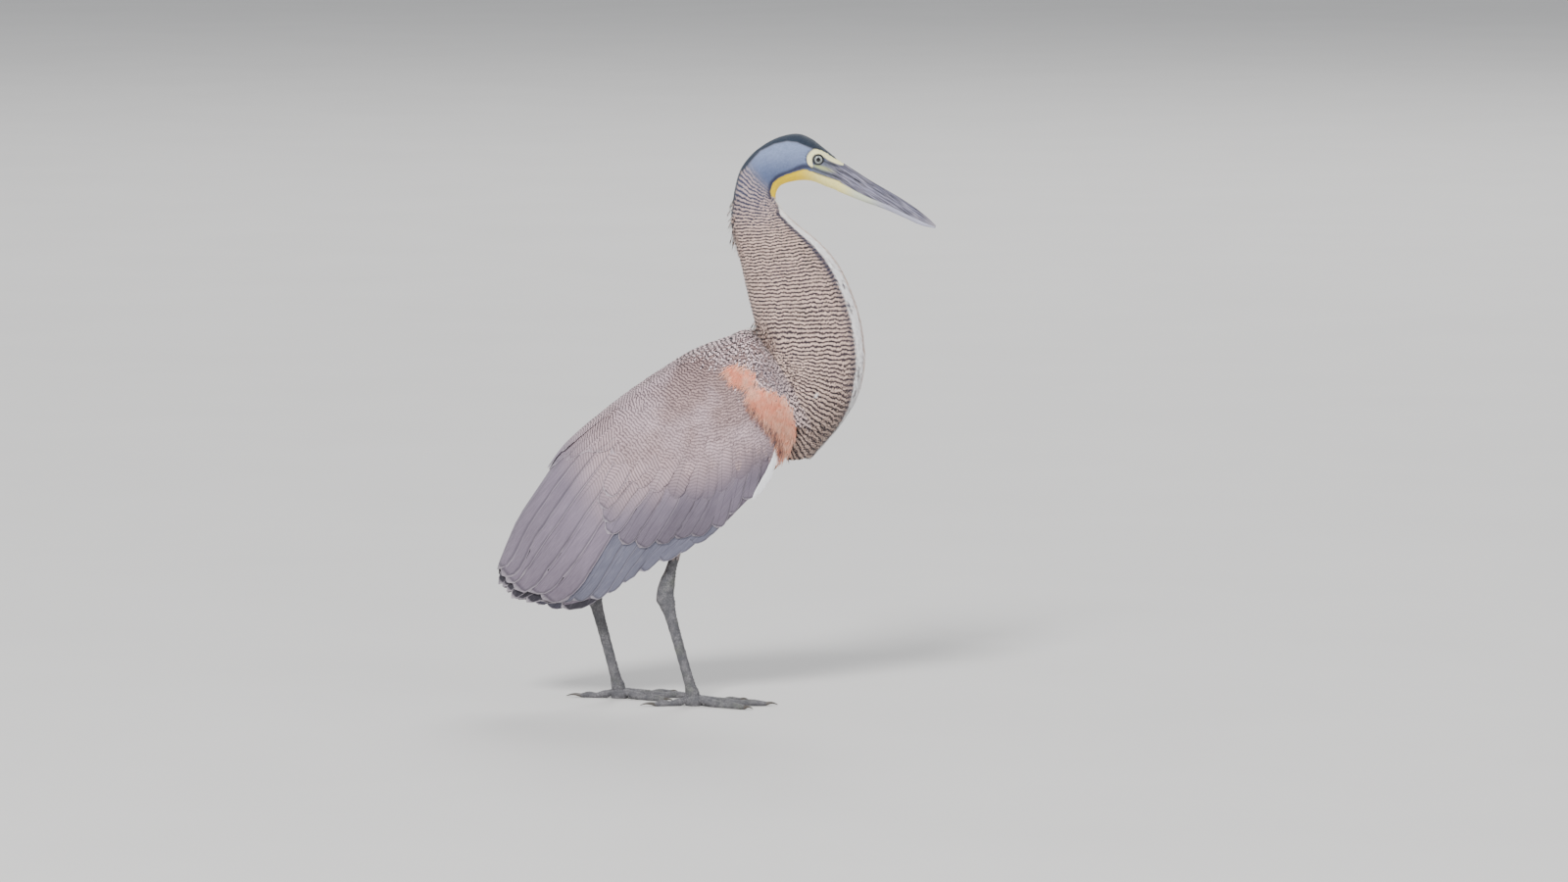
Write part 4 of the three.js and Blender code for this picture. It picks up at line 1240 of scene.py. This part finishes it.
def wingCoverts(name, chart):
    rng = np.random.default_rng(31 + sides[name])
    # small over the shoulder, and larger from there on
    grown = lambda ends, section: ends[0] + (ends[1] - ends[0]) * smooth(section, 0, 4.5)
    pitches = np.array(coverts["pitch"])
    roots = scattered(chart, coverts["from"], (0.0, 0.96), lambda section: grown(pitches, section), rng)
    section, down = roots.T
    lowest = 0.93 - 0.24 * smooth(section, 0.2, 2.2) - 0.14 * smooth(section, 2.2, 4.8)
    keep = (down < lowest + rng.normal(0, 0.05, len(roots))) & (section > wingFront(down, 1.5))
    roots, lowest = roots[keep], lowest[keep]
    section, down = roots.T
    lengths = grown(coverts["length"], section) * rng.uniform(0.88, 1.12, len(roots))
    widths = grown(coverts["width"], section) * rng.uniform(0.9, 1.1, len(roots))
    tips = tipsOf(chart, roots, wingWays(section, down), lengths)
    phases = section * wingColours["perSection"] * (1 - 0.6 * smooth(-section, -2, 0)) + down * 60
    # the last rows lie down onto the larger feathers below them
    last = np.maximum(smooth(down - lowest, -0.2, 0.02), smooth(section, 3.4, 5))
    look = {**coverts["look"], "tip": (0.3 - 1.1 * last)[:, None]}
    title = f"coat_coverts_{name}"
    mesh = vanes(title, chart, roots, tips, widths, coverVane, look, rng, wingUnwrap, phases)
    wingMarks(mesh, perVertex(section, coverVane), perVertex(down, coverVane))
    addCoat(title, mesh, wingMaterial, "back_plumage")


for name, chart in wings.items():
    makeWingBase(name)
    for i, (kind, tier) in enumerate(wingTiers.items()):
        slot = "flight_plumage" if tier.get("grey") else "back_plumage"
        tierVanes(f"{kind}_{name}", chart, tier, wingLook, 40 + 10 * i + sides[name], wingMaterial, slot)
    wingCoverts(name, chart)


# The short tail: a few vanes to each side of the middle, over a thin root.
tailTier = {
    "count": 6, "width": 17, "lift": (-2.4, -1.0), "tip": 0.18, "grey": 1.0, "scallop": 0.5,
    "roots": [(0.2, 0.05), (0.3, 0.4), (0.4, 0.84)],
    "tips": [(3.1, 0.06), (3.3, 0.5), (3.05, 0.93)],
}


def makeTailRoot():
    bm = bmesh.new()
    rows = [(*row[:4], row[4] * 0.9) for row in tailRows]
    loft(bm, Chart(rows), np.linspace(-0.6, 2.2, 14), 40, np.linspace(-3.5, -6.5, 14))
    mesh = meshOf(bm, "tail_root")
    # painted shade: the tail root, which lies under the tail's vanes, is darkened
    addMarks(mesh, {"grey": 1.0, "paintedShading": 0.7, "aside": 5.0})
    addCoat("tail_root", mesh, wingMaterial, "flight_plumage", "tail")


makeTailRoot()
tailLook = {**wingLook, "tilt": -0.06}
for name, chart in tails.items():
    tierVanes(f"tail_{name}", chart, tailTier, tailLook, 120 + sides[name], wingMaterial, "flight_plumage")


# The mantle: neck feathers that run out over the shoulders and the back, so that no edge shows there.
mantle = {
    "from": (-1.3, 3.4),
    "round": (0.0, 0.62),
    "pitch": (3.2, 2.2),
    "length": (15, 20),
    "width": 3.6,
    "slope": 48,  # how steeply its bars are counted down the back
    "look": {"root": -2.6, "tip": 0.9, "camber": 0.22, "roll": 0.06, "stray": 0.25, "bend": 0.6,
             "chevron": 0.6},
}


def makeMantle(name):
    rng = np.random.default_rng(91 + sides[name])
    chart = wings[name]
    roots = scattered(chart, mantle["from"], mantle["round"], lambda section: mantle["pitch"], rng)
    reach = 3.2 - 4.6 * roots[:, 1] + rng.normal(0, 0.35, len(roots))
    roots = roots[roots[:, 0] < reach]
    ways = wingWays(np.maximum(roots[:, 0], 0), roots[:, 1])
    tips = tipsOf(chart, roots, ways, rng.uniform(*mantle["length"], len(roots)))
    widths = mantle["width"] * rng.uniform(0.85, 1.15, len(roots))
    points = chart(*roots.T)
    slope = np.radians(mantle["slope"])
    phases = -(points[:, 0] * math.cos(slope) + points[:, 2] * math.sin(slope))
    title = f"coat_mantle_{name}"
    mesh = vanes(title, chart, roots, tips, widths, smallVane, mantle["look"], rng, wingUnwrap, phases)
    back = perVertex(0.5 + 0.45 * smooth(roots[:, 0] + 2 * roots[:, 1], -0.4, 1.6), smallVane)
    slate = inPatch(pointsOf(mesh), face["shoulder"], 7.0) * 0.3
    addMarks(mesh, {"bars": 1.0, "back": back, "edging": slate})
    addCoat(title, mesh, barredPlumage, "barred_plumage")


for name in sides:
    makeMantle(name)


# The coat of the breast, belly, flanks and rump, under the wings.
bodyCoats = {
    "coat_belly": {
        "from": (0.6, 9.7), "round": (1.1, 2 * math.pi - 1.1), "pitch": (4.4, 3.2), "length": (15, 17),
        "width": 4.6, "seed": 21, "belly": 1.0,
        "look": {"root": -2.6, "tip": 0.6, "camber": 0.35, "roll": 0.06, "stray": 0.4, "bend": 0.8},
    },
    "coat_rump": {
        "from": (4.0, 10.1), "round": (-1.1, 1.1), "pitch": (5, 4), "length": (18, 20),
        "width": 6, "seed": 22, "belly": 0.4,
        "look": {"root": -2.8, "tip": 0.0, "camber": 0.4, "roll": 0.05, "stray": 0.2, "bend": 0.6},
    },
}


def bodyCoat(name, chart, coat, unwrap, slot):
    rng = np.random.default_rng(coat["seed"])
    roots = scattered(chart, coat["from"], coat["round"], lambda section: coat["pitch"], rng)
    roots = roots[standsClear(chart(*roots.T), 0.15)]
    if not len(roots):
        return
    along, _ = chart.runs(*roots.T)
    lengths = rng.uniform(*coat["length"], len(roots))
    tips = tipsOf(chart, roots, unit(along) + (0, 0, -0.35), lengths)
    widths = coat["width"] * rng.uniform(0.85, 1.15, len(roots))
    phases = lengthAt(roots[:, 0])
    mesh = vanes(name, chart, roots, tips, widths, smallVane, coat["look"], rng, unwrap, phases)
    addMarks(mesh, {"bars": coat.get("bars", 0.08), "belly": coat["belly"]})
    addCoat(name, mesh, barredPlumage, slot)


for name, coat in bodyCoats.items():
    bodyCoat(name, torso, coat, roundUnwrap(11), "back_plumage")


# Legs: half the depth fore and aft and half the width at shares of the way between two joints.
legs = {
    "right": {"hip": (-16, -20, 250), "ankle": (-52.5, -15, 113), "foot": (-22.5, -28, 7)},
    "left": {"hip": (-40, 20, 240), "ankle": (-127.5, 15, 116), "foot": (-99.5, 28, 7)},
    "tibia": [(0, 27, 18), (0.35, 19, 14), (0.53, 10, 8.5), (0.62, 5.6, 4.8), (0.8, 5.4, 4.6),
              (0.93, 8.2, 5.6)],
    "tarsus": [(0.02, 9.4, 6.4), (0.1, 8.2, 6), (0.22, 6, 4.8), (0.55, 5.2, 4.4), (0.84, 5.4, 5),
               (0.94, 7.0, 6.2), (1.03, 6.6, 6.2)],
    "feathersTo": 3.15,  # the section where the thigh's feathers end
    "scutes": 3.4,  # from one scute to the next, down the front
    "skinUnder": -2.6,  # how far the thigh's skin lies under its feathers
    "around": 40,
}
thighCoat = {
    "from": (0.3, legs["feathersTo"]), "round": (-math.pi, math.pi), "pitch": (3.4, 2.6), "length": (11, 13),
    "width": 3.4, "belly": 0.0, "bars": 0.25,
    "look": {"root": -2.2, "tip": 0.5, "camber": 0.25, "roll": 0.06, "stray": 0.3, "bend": 0.6},
}
toes = {
    "middle": {"turn": 2, "length": 74, "radius": 4.6, "claw": 14},
    "inner": {"turn": -30, "length": 54, "radius": 4.3, "claw": 13},
    "outer": {"turn": 30, "length": 60, "radius": 4.3, "claw": 12},
    "hind": {"turn": 172, "length": 40, "radius": 4.2, "claw": 18},
}
footLook = {
    "padSize": (9.5, 8.2, 8.2),
    "padHeight": 4.2,
    "toeSteps": 56,
    "toeAround": 22,
    "clawSteps": 22,
    "clawAround": 14,
    "clawRadii": (2.1, 0.35),
    "clawInside": 1.2,  # how far back into its toe a claw reaches
}
legColours = {
    "shin": colour(86, 86, 90),
    "pale": colour(120, 118, 121),
    "groove": colour(66, 64, 68),
    "olive": colour(104, 108, 96),
    "horn": colour(52, 48, 46),
    "hornTip": colour(96, 90, 84),
}


def legRows(joints):
    rows = []
    for start, end, profile in (("hip", "ankle", legs["tibia"]), ("ankle", "foot", legs["tarsus"])):
        begin = np.array(joints[start], float)
        down = np.array(joints[end], float) - begin
        fore = np.array([-down[2], 0, down[0]])
        fore /= np.linalg.norm(fore)
        for share, deep, half in profile:
            centre = begin + down * share
            front, back = centre + fore * deep, centre - fore * deep
            rows.append((front[0], front[2], back[0], back[2], half, centre[1]))
    return rows


def legScales():
    f = Finish("legScales", Roughness=0.5, Specular_IOR_Level=0.4)
    scale = f.node("ShaderNodeTexVoronoi", {"feature": "DISTANCE_TO_EDGE"}, {
        "Vector": f.stretched((1, 1, 0.75)), "Scale": 520.0})
    groove = 1 - scale.between(0.02, 0.16)
    mottle = f.noise(160, 4)
    fine = f.noise(900, 3)
    base = f.mix(mottle.between(0.35, 0.68), legColours["shin"], legColours["pale"])
    base = f.mix(f.noise(45, 2).between(0.5, 0.75) * 0.5, base, legColours["olive"])
    for dark in (groove * 0.65, f.mark("scuteEdge") * 0.55):
        base = f.mix(dark, base, legColours["groove"])
    height = scale.between(0.0, 0.2) + fine * 0.25
    return f.use(Base_Color=f.shaded(base, 0.82 + fine * 0.36), Normal=f.bump(height, 0.55, 0.0005),
                 Roughness=0.42 + mottle * 0.3)


def hornFinish():
    f = Finish("clawHorn", Specular_IOR_Level=0.5)
    along = f.noise(300, 3, f.stretched((0.3, 0.3, 2.5)))
    base = f.mix(along, legColours["horn"], legColours["hornTip"])
    return f.use(Base_Color=base, Roughness=0.28 + along * 0.2, Normal=f.bump(along, 0.25, 0.0003))


scaleMaterial = legScales()
hornMaterial = hornFinish()


# a saw down the front of a leg, high at the lower end of each scute
def scuteRelief(distance, angle):
    share = (distance / legs["scutes"]) % 1
    front = math.exp(-((angle / 0.95) ** 2))
    return front * (0.42 * share ** 1.5 - 0.2 + 0.1 * math.sin(distance * 1.7))


def makeLeg(name, joints):
    chart = Chart(legRows(joints))
    places = np.r_[np.linspace(0.05, 3.4, 40)[:-1], np.linspace(3.4, 12, 200)]
    middle = chart.sections(places)[0]
    far = distances(middle)

    def relief(place, angle):
        if place < legs["feathersTo"]:
            return 0.0
        distance = np.interp(place, places, far)
        bareShare = float(smooth(place, legs["feathersTo"], 4))
        return bareShare * (scuteRelief(distance, angle) + 0.12 * math.sin(3 * angle + distance * 0.6))

    grow = np.interp(places, [0, 2, 3, 3.6], [legs["skinUnder"], legs["skinUnder"], -1.2, 0])
    bm = bmesh.new()
    loft(bm, chart, places, legs["around"], grow, relief)
    mesh = meshOf(bm, f"leg_{name}", 40)
    points = pointsOf(mesh)
    nearest = np.array([np.argmin(((middle - point[[0, 2]]) ** 2).sum(-1)) for point in points])
    front = chart.height(places[nearest], points)
    share = far[nearest] / legs["scutes"] % 1
    edges = smooth(np.abs(share - 0.5), 0.38, 0.5) * smooth(front, 0.3, 0.7) * (places[nearest] > 4)
    addMarks(mesh, {"scuteEdge": edges})
    addCoat(f"leg_{name}", mesh, scaleMaterial, "leg_scales", f"thigh_{name}", f"shank_{name}")
    coat = {**thighCoat, "seed": 61 + sides[name]}
    bodyCoat(f"coat_thigh_{name}", chart, coat, roundUnwrap(4), "barred_plumage")


def toeCentres(foot, toe, turn):
    centres, radii = [], []
    for i in range(footLook["toeSteps"] + 1):
        share = i / footLook["toeSteps"]
        knuckle = 1 + 0.12 * math.cos(share * math.pi * 5)
        endShare = 0.6 if i in (0, footLook["toeSteps"]) else 1
        radius = toe["radius"] * (1 - 0.34 * share) * knuckle * endShare
        rise = 3.2 * math.exp(-(((share - 0.16) / 0.16) ** 2))
        centres.append((foot[0] + math.cos(turn) * share * toe["length"],
                        foot[1] + math.sin(turn) * share * toe["length"], radius * 0.82 + rise))
        radii.append(radius * (1 + 0.035 * (i % 3 - 1)))
    return centres, radii


# a claw from the end of its toe: up a little, and then down to the floor
def clawCentres(end, toe, turn):
    x, y, z = end
    first, last = footLook["clawRadii"]
    centres, radii = [], []
    for share in np.linspace(0, 1, footLook["clawSteps"]):
        reach = share * toe["claw"] * 0.92 - footLook["clawInside"]
        height = z + 0.6 + 1.6 * math.sin(share * math.pi * 0.9) - (z - 0.2) * share**2
        centres.append((x + math.cos(turn) * reach, y + math.sin(turn) * reach, height))
        radii.append(first + (last - first) * share)
    return centres, radii


# what lies under the floor is cut away and the cut closed
def onFloor(mesh):
    bm = bmesh.new()
    bm.from_mesh(mesh)
    return cutOff(bm, mesh.name, (0, 0, 0), (0, 0, -1))


def makeFoot(name, foot):
    size = Matrix.Diagonal((*(length * mm for length in footLook["padSize"]), 1))
    pad = Matrix.Translation(Vector((foot[0], foot[1], footLook["padHeight"])) * mm) @ size
    made = sphere("pad", pad, 1, (32, 20))
    for kind, toe in toes.items():
        turn = math.radians(toe["turn"]) * sides[name]
        centres, radii = toeCentres(foot, toe, turn)
        bm = bmesh.new()
        tube(bm, centres, radii, footLook["toeAround"])
        made = combined(made, meshOf(bm, "toe"), "UNION")
        bm = bmesh.new()
        tube(bm, *clawCentres(centres[-1], toe, turn), footLook["clawAround"])
        claw = onFloor(meshOf(bm, "claw", 50))
        addCoat(f"claw_fine_{kind}_{name}", claw, hornMaterial, "horn", f"claw_{kind}_{name}")
    made = onFloor(made)
    made.set_sharp_from_angle(angle=math.radians(50))
    addCoat(f"foot_fine_{name}", made, scaleMaterial, "leg_scales", f"foot_{name}")


for name in sides:
    makeLeg(name, legs[name])
    makeFoot(name, legs[name]["foot"])


# The bill, modelled whole and parted along the line of the mouth.
bill = {
    "base": ((124.65, 524), (131.65, 551.5)),
    "overlap": 1.5,  # how far it runs on into the head
    "culmen": [(131.2, 551.6), (157, 535), (182, 520.5), (200.5, 508.5), (216, 496.5), (225.2, 487.6)],
    "tomium": [(119, 537.5), (151.5, 520), (174.5, 510.5), (194.5, 500.7), (211, 492.8), (224.2, 486.9)],
    "gonys": [(117, 526.9), (147, 514.5), (172, 505.5), (192, 496.8), (209, 489.2), (223.4, 486.1)],
    "half": [7.6, 6.4, 5.2, 4.0, 2.6, 0.8],
    "nostril": {"at": (144, 6.2, 535), "size": (8, 4, 1.5), "slope": 0.58},
    "gap": 0.3,
    "rings": 150,
    "around": 72,
}


def billMaterial(half):
    f = Finish(f"{half}Bill", Specular_IOR_Level=0.5, Coat_Weight=0.15, Coat_Roughness=0.25)
    streaks, fine = billStreaks(f)
    x, y, _ = f.axes()
    if half == "upper":
        ridge = 1 - y.size().between(0.0008, 0.0035)
        base = f.mix(ridge * 0.7, streakedHorn(f, streaks, fine), billColours["culmen"])
        base = f.mix(x.between(0.205, 0.226) * 0.5, base, billColours["horn"])
    else:
        base = f.mix(x.between(0.150, 0.176), billColours["green"], billColours["lowerGrey"])
        base = f.mix(x.between(0.124, 0.146), billColours["lemon"], base)
        base = f.mix(streaks * x.between(0.14, 0.17) * 0.3, base, billColours["grey"])
    return f.use(Base_Color=f.shaded(base, 0.86 + fine * 0.3), Roughness=0.34 + streaks * 0.24,
                 Normal=f.bump(fine + streaks * 0.6, 0.3, 0.0004))


# a ridge along the culmen, and a groove along each side from the nostril on
def billRelief(place, angle):
    fade = float(smooth(place, 0.0, 0.5) * smooth(3.6 - place, 0, 2))
    groove = math.exp(-(((abs(angle) - 0.98) / 0.13) ** 2)) * fade
    return 0.25 * math.exp(-((angle / 0.2) ** 2)) - 0.55 * groove


# all that lies above the line of the mouth, with a side of 1, or below it, with -1
def mouthSide(side, halfWidth=25, far=60):
    tomium = splineAt(bill["tomium"], np.linspace(-0.5, 4.98, 60))
    bm = bmesh.new()
    edge = [(x, z + side * bill["gap"] / 2) for x, z in tomium]
    edge += [(x, z + side * far) for x, z in (tomium[-1] + (6, 0), tomium[0])]
    outline = bm.faces.new([bm.verts.new(Vector((x, -halfWidth, z)) * mm) for x, z in edge])
    made = bmesh.ops.extrude_face_region(bm, geom=[outline])
    moved = [item for item in made["geom"] if isinstance(item, bmesh.types.BMVert)]
    bmesh.ops.translate(bm, vec=(0, 2 * halfWidth * mm, 0), verts=moved)
    return meshOf(bm, "beyondMouth")


def makeBill():
    rows = [(*upper, *lower, half) for upper, lower, half in zip(bill["culmen"], bill["gonys"], bill["half"])]
    bm = bmesh.new()
    loft(bm, Chart(rows), np.linspace(-0.25, 5, bill["rings"]), bill["around"], 0, billRelief)
    low, high = (Vector((x, 0, z)) for x, z in bill["base"])
    behind = Vector((-(high - low).z, 0, (high - low).x)).normalized()
    whole = cutOff(bm, "bill", (low + behind * bill["overlap"]) * mm, behind)
    nostril = bill["nostril"]
    size = Matrix.Diagonal((*(Vector(nostril["size"]) * mm / 2), 1))
    for side in sides.values():
        place = Matrix.Translation(onSide(side, nostril["at"])) @ Matrix.Rotation(nostril["slope"], 4, "Y")
        whole = combined(whole, sphere("nostril", place @ size, 1, (24, 14)), "DIFFERENCE")
    for half, side, slot in (("upper", 1, "bill_dark"), ("lower", -1, "bill_pale")):
        part = combined(whole.copy(), mouthSide(side), "INTERSECT")
        part.name = f"bill_fine_{half}"
        part.shade_smooth()
        part.set_sharp_from_angle(angle=math.radians(40))
        addCoat(f"bill_fine_{half}", part, billMaterial(half), slot, f"bill_{half}")


makeBill()


# Eyes: a silver iris with a dark rim round a black pupil.
iris = {
    "pupil": 2.05,
    "inner": 2.5,
    "outer": 4.15,
    "black": colour(6, 6, 8),
    "silver": colour(172, 176, 168),
    "grey": colour(104, 112, 112),
    "rim": colour(24, 26, 30),
}


def eyeMaterial(name, side):
    f = Finish(f"eye_{name}", Roughness=0.2, Specular_IOR_Level=0.2, Coat_Weight=0.7, Coat_Roughness=0.03)
    vector = lambda operation, one, other, output=0: f.node(
        "ShaderNodeVectorMath", {"operation": operation}, {0: one, 1: other}, output)
    local = vector("SUBTRACT", f.place(), onSide(side, eyeLook["at"]))
    gaze = Vector((math.sin(eyeLook["gaze"]), side * math.cos(eyeLook["gaze"]), 0))
    # how far from the line of the gaze, in mm
    off = vector("LENGTH", vector("CROSS_PRODUCT", local, gaze), (0, 0, 0), 1) * 1000.0
    silver = f.mix(f.noise(900, 3).between(0.35, 0.65), iris["grey"], iris["silver"])
    base = f.mix(off.between(iris["pupil"] + 0.1, iris["inner"]), iris["grey"], silver)
    base = f.mix(1 - off.between(iris["pupil"] - 0.1, iris["pupil"] + 0.1), base, iris["black"])
    base = f.mix(off.between(iris["outer"] - 0.35, iris["outer"]), base, iris["rim"])
    return f.use(Base_Color=base)


for name, side in sides.items():
    bm = bmesh.new()
    bmesh.ops.create_icosphere(bm, subdivisions=5, radius=eyeLook["radius"] * mm, matrix=atEye(side))
    addCoat(f"eyeball_{name}", meshOf(bm, f"eyeball_{name}"), eyeMaterial(name, side), "eye", f"eye_{name}")


# The loose salmon plumes over the bend of the wing, the white edge below them, and a few wisps.
plumes = {
    "patches": [
        [(12, 349), (22, 353), (36, 351), (42, 344), (42, 334), (33, 334), (20, 339)],
        [(35, 330), (44, 332), (57, 328), (70, 322), (78, 311), (81, 298), (81, 282), (75, 267), (69, 262),
         (67, 272), (63, 287), (49, 300), (36, 316)],
    ],
    "pitch": (1.05, 0.72),
    "length": (9, 16),
    "width": 0.6,
    "salmon": colour(252, 164, 132),
    "pale": colour(255, 206, 180),
    "tips": colour(222, 156, 130),
    "slate": colour(88, 76, 84),
    "slatyEdge": [(36, 318, 2), (48, 302, 3.5), (58, 292, 4), (65, 282, 4), (69, 270, 3)],
    "look": {"root": -0.6, "camber": 0.1, "roll": 0.15, "stray": 0.7, "bend": 1.6},
}


def plumeMaterial():
    f = Finish("salmonPlumes", Roughness=0.7, Specular_IOR_Level=0.3, **sheen(0.3, 0.4))
    base = f.mix(f.noise(90, 3).between(0.34, 0.7) * 0.8, plumes["salmon"], plumes["pale"])
    base = f.mix(f.mark("alongVane").between(0.6, 1.0) * 0.35, base, plumes["tips"])
    base = f.marked(base, {"slaty": plumes["slate"]})
    fine = f.noise(900, 2)
    _, _, z = f.axes()
    shade = 0.64 + f.mark("tone") * 0.1 + fine * 0.16 + z.between(0.27, 0.34) * 0.34
    return f.use(Base_Color=f.shaded(base, shade), Normal=f.bump(fine, 0.3, 0.0002))


plumeFinish = plumeMaterial()


def makePlumes(name):
    rng = np.random.default_rng(71 + sides[name])
    chart = wings[name]
    roots = scattered(chart, (-0.9, 2.6), (0.12, 1.02), lambda section: plumes["pitch"], rng)
    points = chart(*roots.T)
    share = np.max([inPatch(points, patch, 6.0) for patch in plumes["patches"]], axis=0)
    keep = (share > rng.uniform(0.2, 0.8, len(roots))) & standsClear(points, -1.5)
    roots, points = roots[keep], points[keep]
    angle = np.radians(66 + rng.normal(0, 9, len(roots)))
    ways = np.stack([-np.cos(angle), 0 * angle, -np.sin(angle)], -1)
    tips = tipsOf(chart, roots, ways, rng.uniform(*plumes["length"], len(roots)))
    slaty = inStripe(points, plumes["slatyEdge"], 2.0) * (rng.random(len(roots)) > 0.7) * 0.85
    look = {**plumes["look"], "tip": (2.2 + 1.4 * slaty)[:, None]}
    widths = plumes["width"] * rng.uniform(0.7, 1.3, len(roots))
    mesh = vanes(f"plumes_{name}", chart, roots, tips, widths, hairVane, look, rng, wingUnwrap)
    addMarks(mesh, {"slaty": perVertex(slaty, hairVane)})
    addCoat(f"plumes_{name}", mesh, plumeFinish, "back_plumage")


wisps = {
    "nape": {"from": (8.8, 11.4), "round": (-0.6, 0.6), "count": 90, "length": (10, 18), "tip": 7.0},
    "hollow": {"from": (14.2, 15.4), "round": (-0.8, 0.8), "count": 300, "length": (10, 18), "tip": 9.0},
}
wispLook = {"root": -1.0, "camber": 0.05, "roll": 0.1, "stray": 0.5, "bend": 1.8, "ease": 1.5}


def makeWisps(name, wisp, seed):
    rng = np.random.default_rng(seed)
    count = wisp["count"]
    roots = np.stack([rng.uniform(*wisp["from"], count), rng.uniform(*wisp["round"], count)], -1)
    along, _ = headNeck.runs(*roots.T)
    tips = tipsOf(headNeck, roots, along, rng.uniform(*wisp["length"], count))
    look = {**wispLook, "tip": rng.uniform(0.5, wisp["tip"], (count, 1))}
    unwrap = roundUnwrap(19.5)
    phases = lengthAt(roots[:, 0])
    mesh = vanes(f"wisps_{name}", headNeck, roots, tips, 0.8, hairVane, look, rng, unwrap, phases)
    addMarks(mesh, {"bars": 1.0})
    addCoat(f"wisps_{name}", mesh, barredPlumage, "barred_plumage")


for i, (name, wisp) in enumerate(wisps.items()):
    makeWisps(name, wisp, 55 + i)


whiteEdge = {
    "count": 9, "width": 6.5, "lift": (-1.0, 0.9), "tip": 0.3,
    "roots": [(0.25, 0.83), (0.9, 0.9), (1.5, 0.945)],
    "tips": [(0.9, 0.95), (1.6, 0.975), (2.5, 0.99)],
    "white": colour(255, 255, 255),
    "shade": colour(236, 236, 242),
    "look": {**wingLook, "thick": 0.3, "shaft": 0.1},
}


def whiteMaterial():
    f = Finish("whiteEdge", Roughness=0.7, Sheen_Weight=0.2)
    line = barbs(f)
    base = f.mix(f.noise(200, 3), whiteEdge["white"], whiteEdge["shade"])
    return f.use(Base_Color=f.shaded(base, 0.94 + line * 0.06), Normal=f.bump(line, 0.3, 0.0002))


whiteFinish = whiteMaterial()
for name, chart in wings.items():
    makePlumes(name)
    tierVanes(f"white_edge_{name}", chart, whiteEdge, whiteEdge["look"], 80 + sides[name], whiteFinish,
              "flight_plumage")
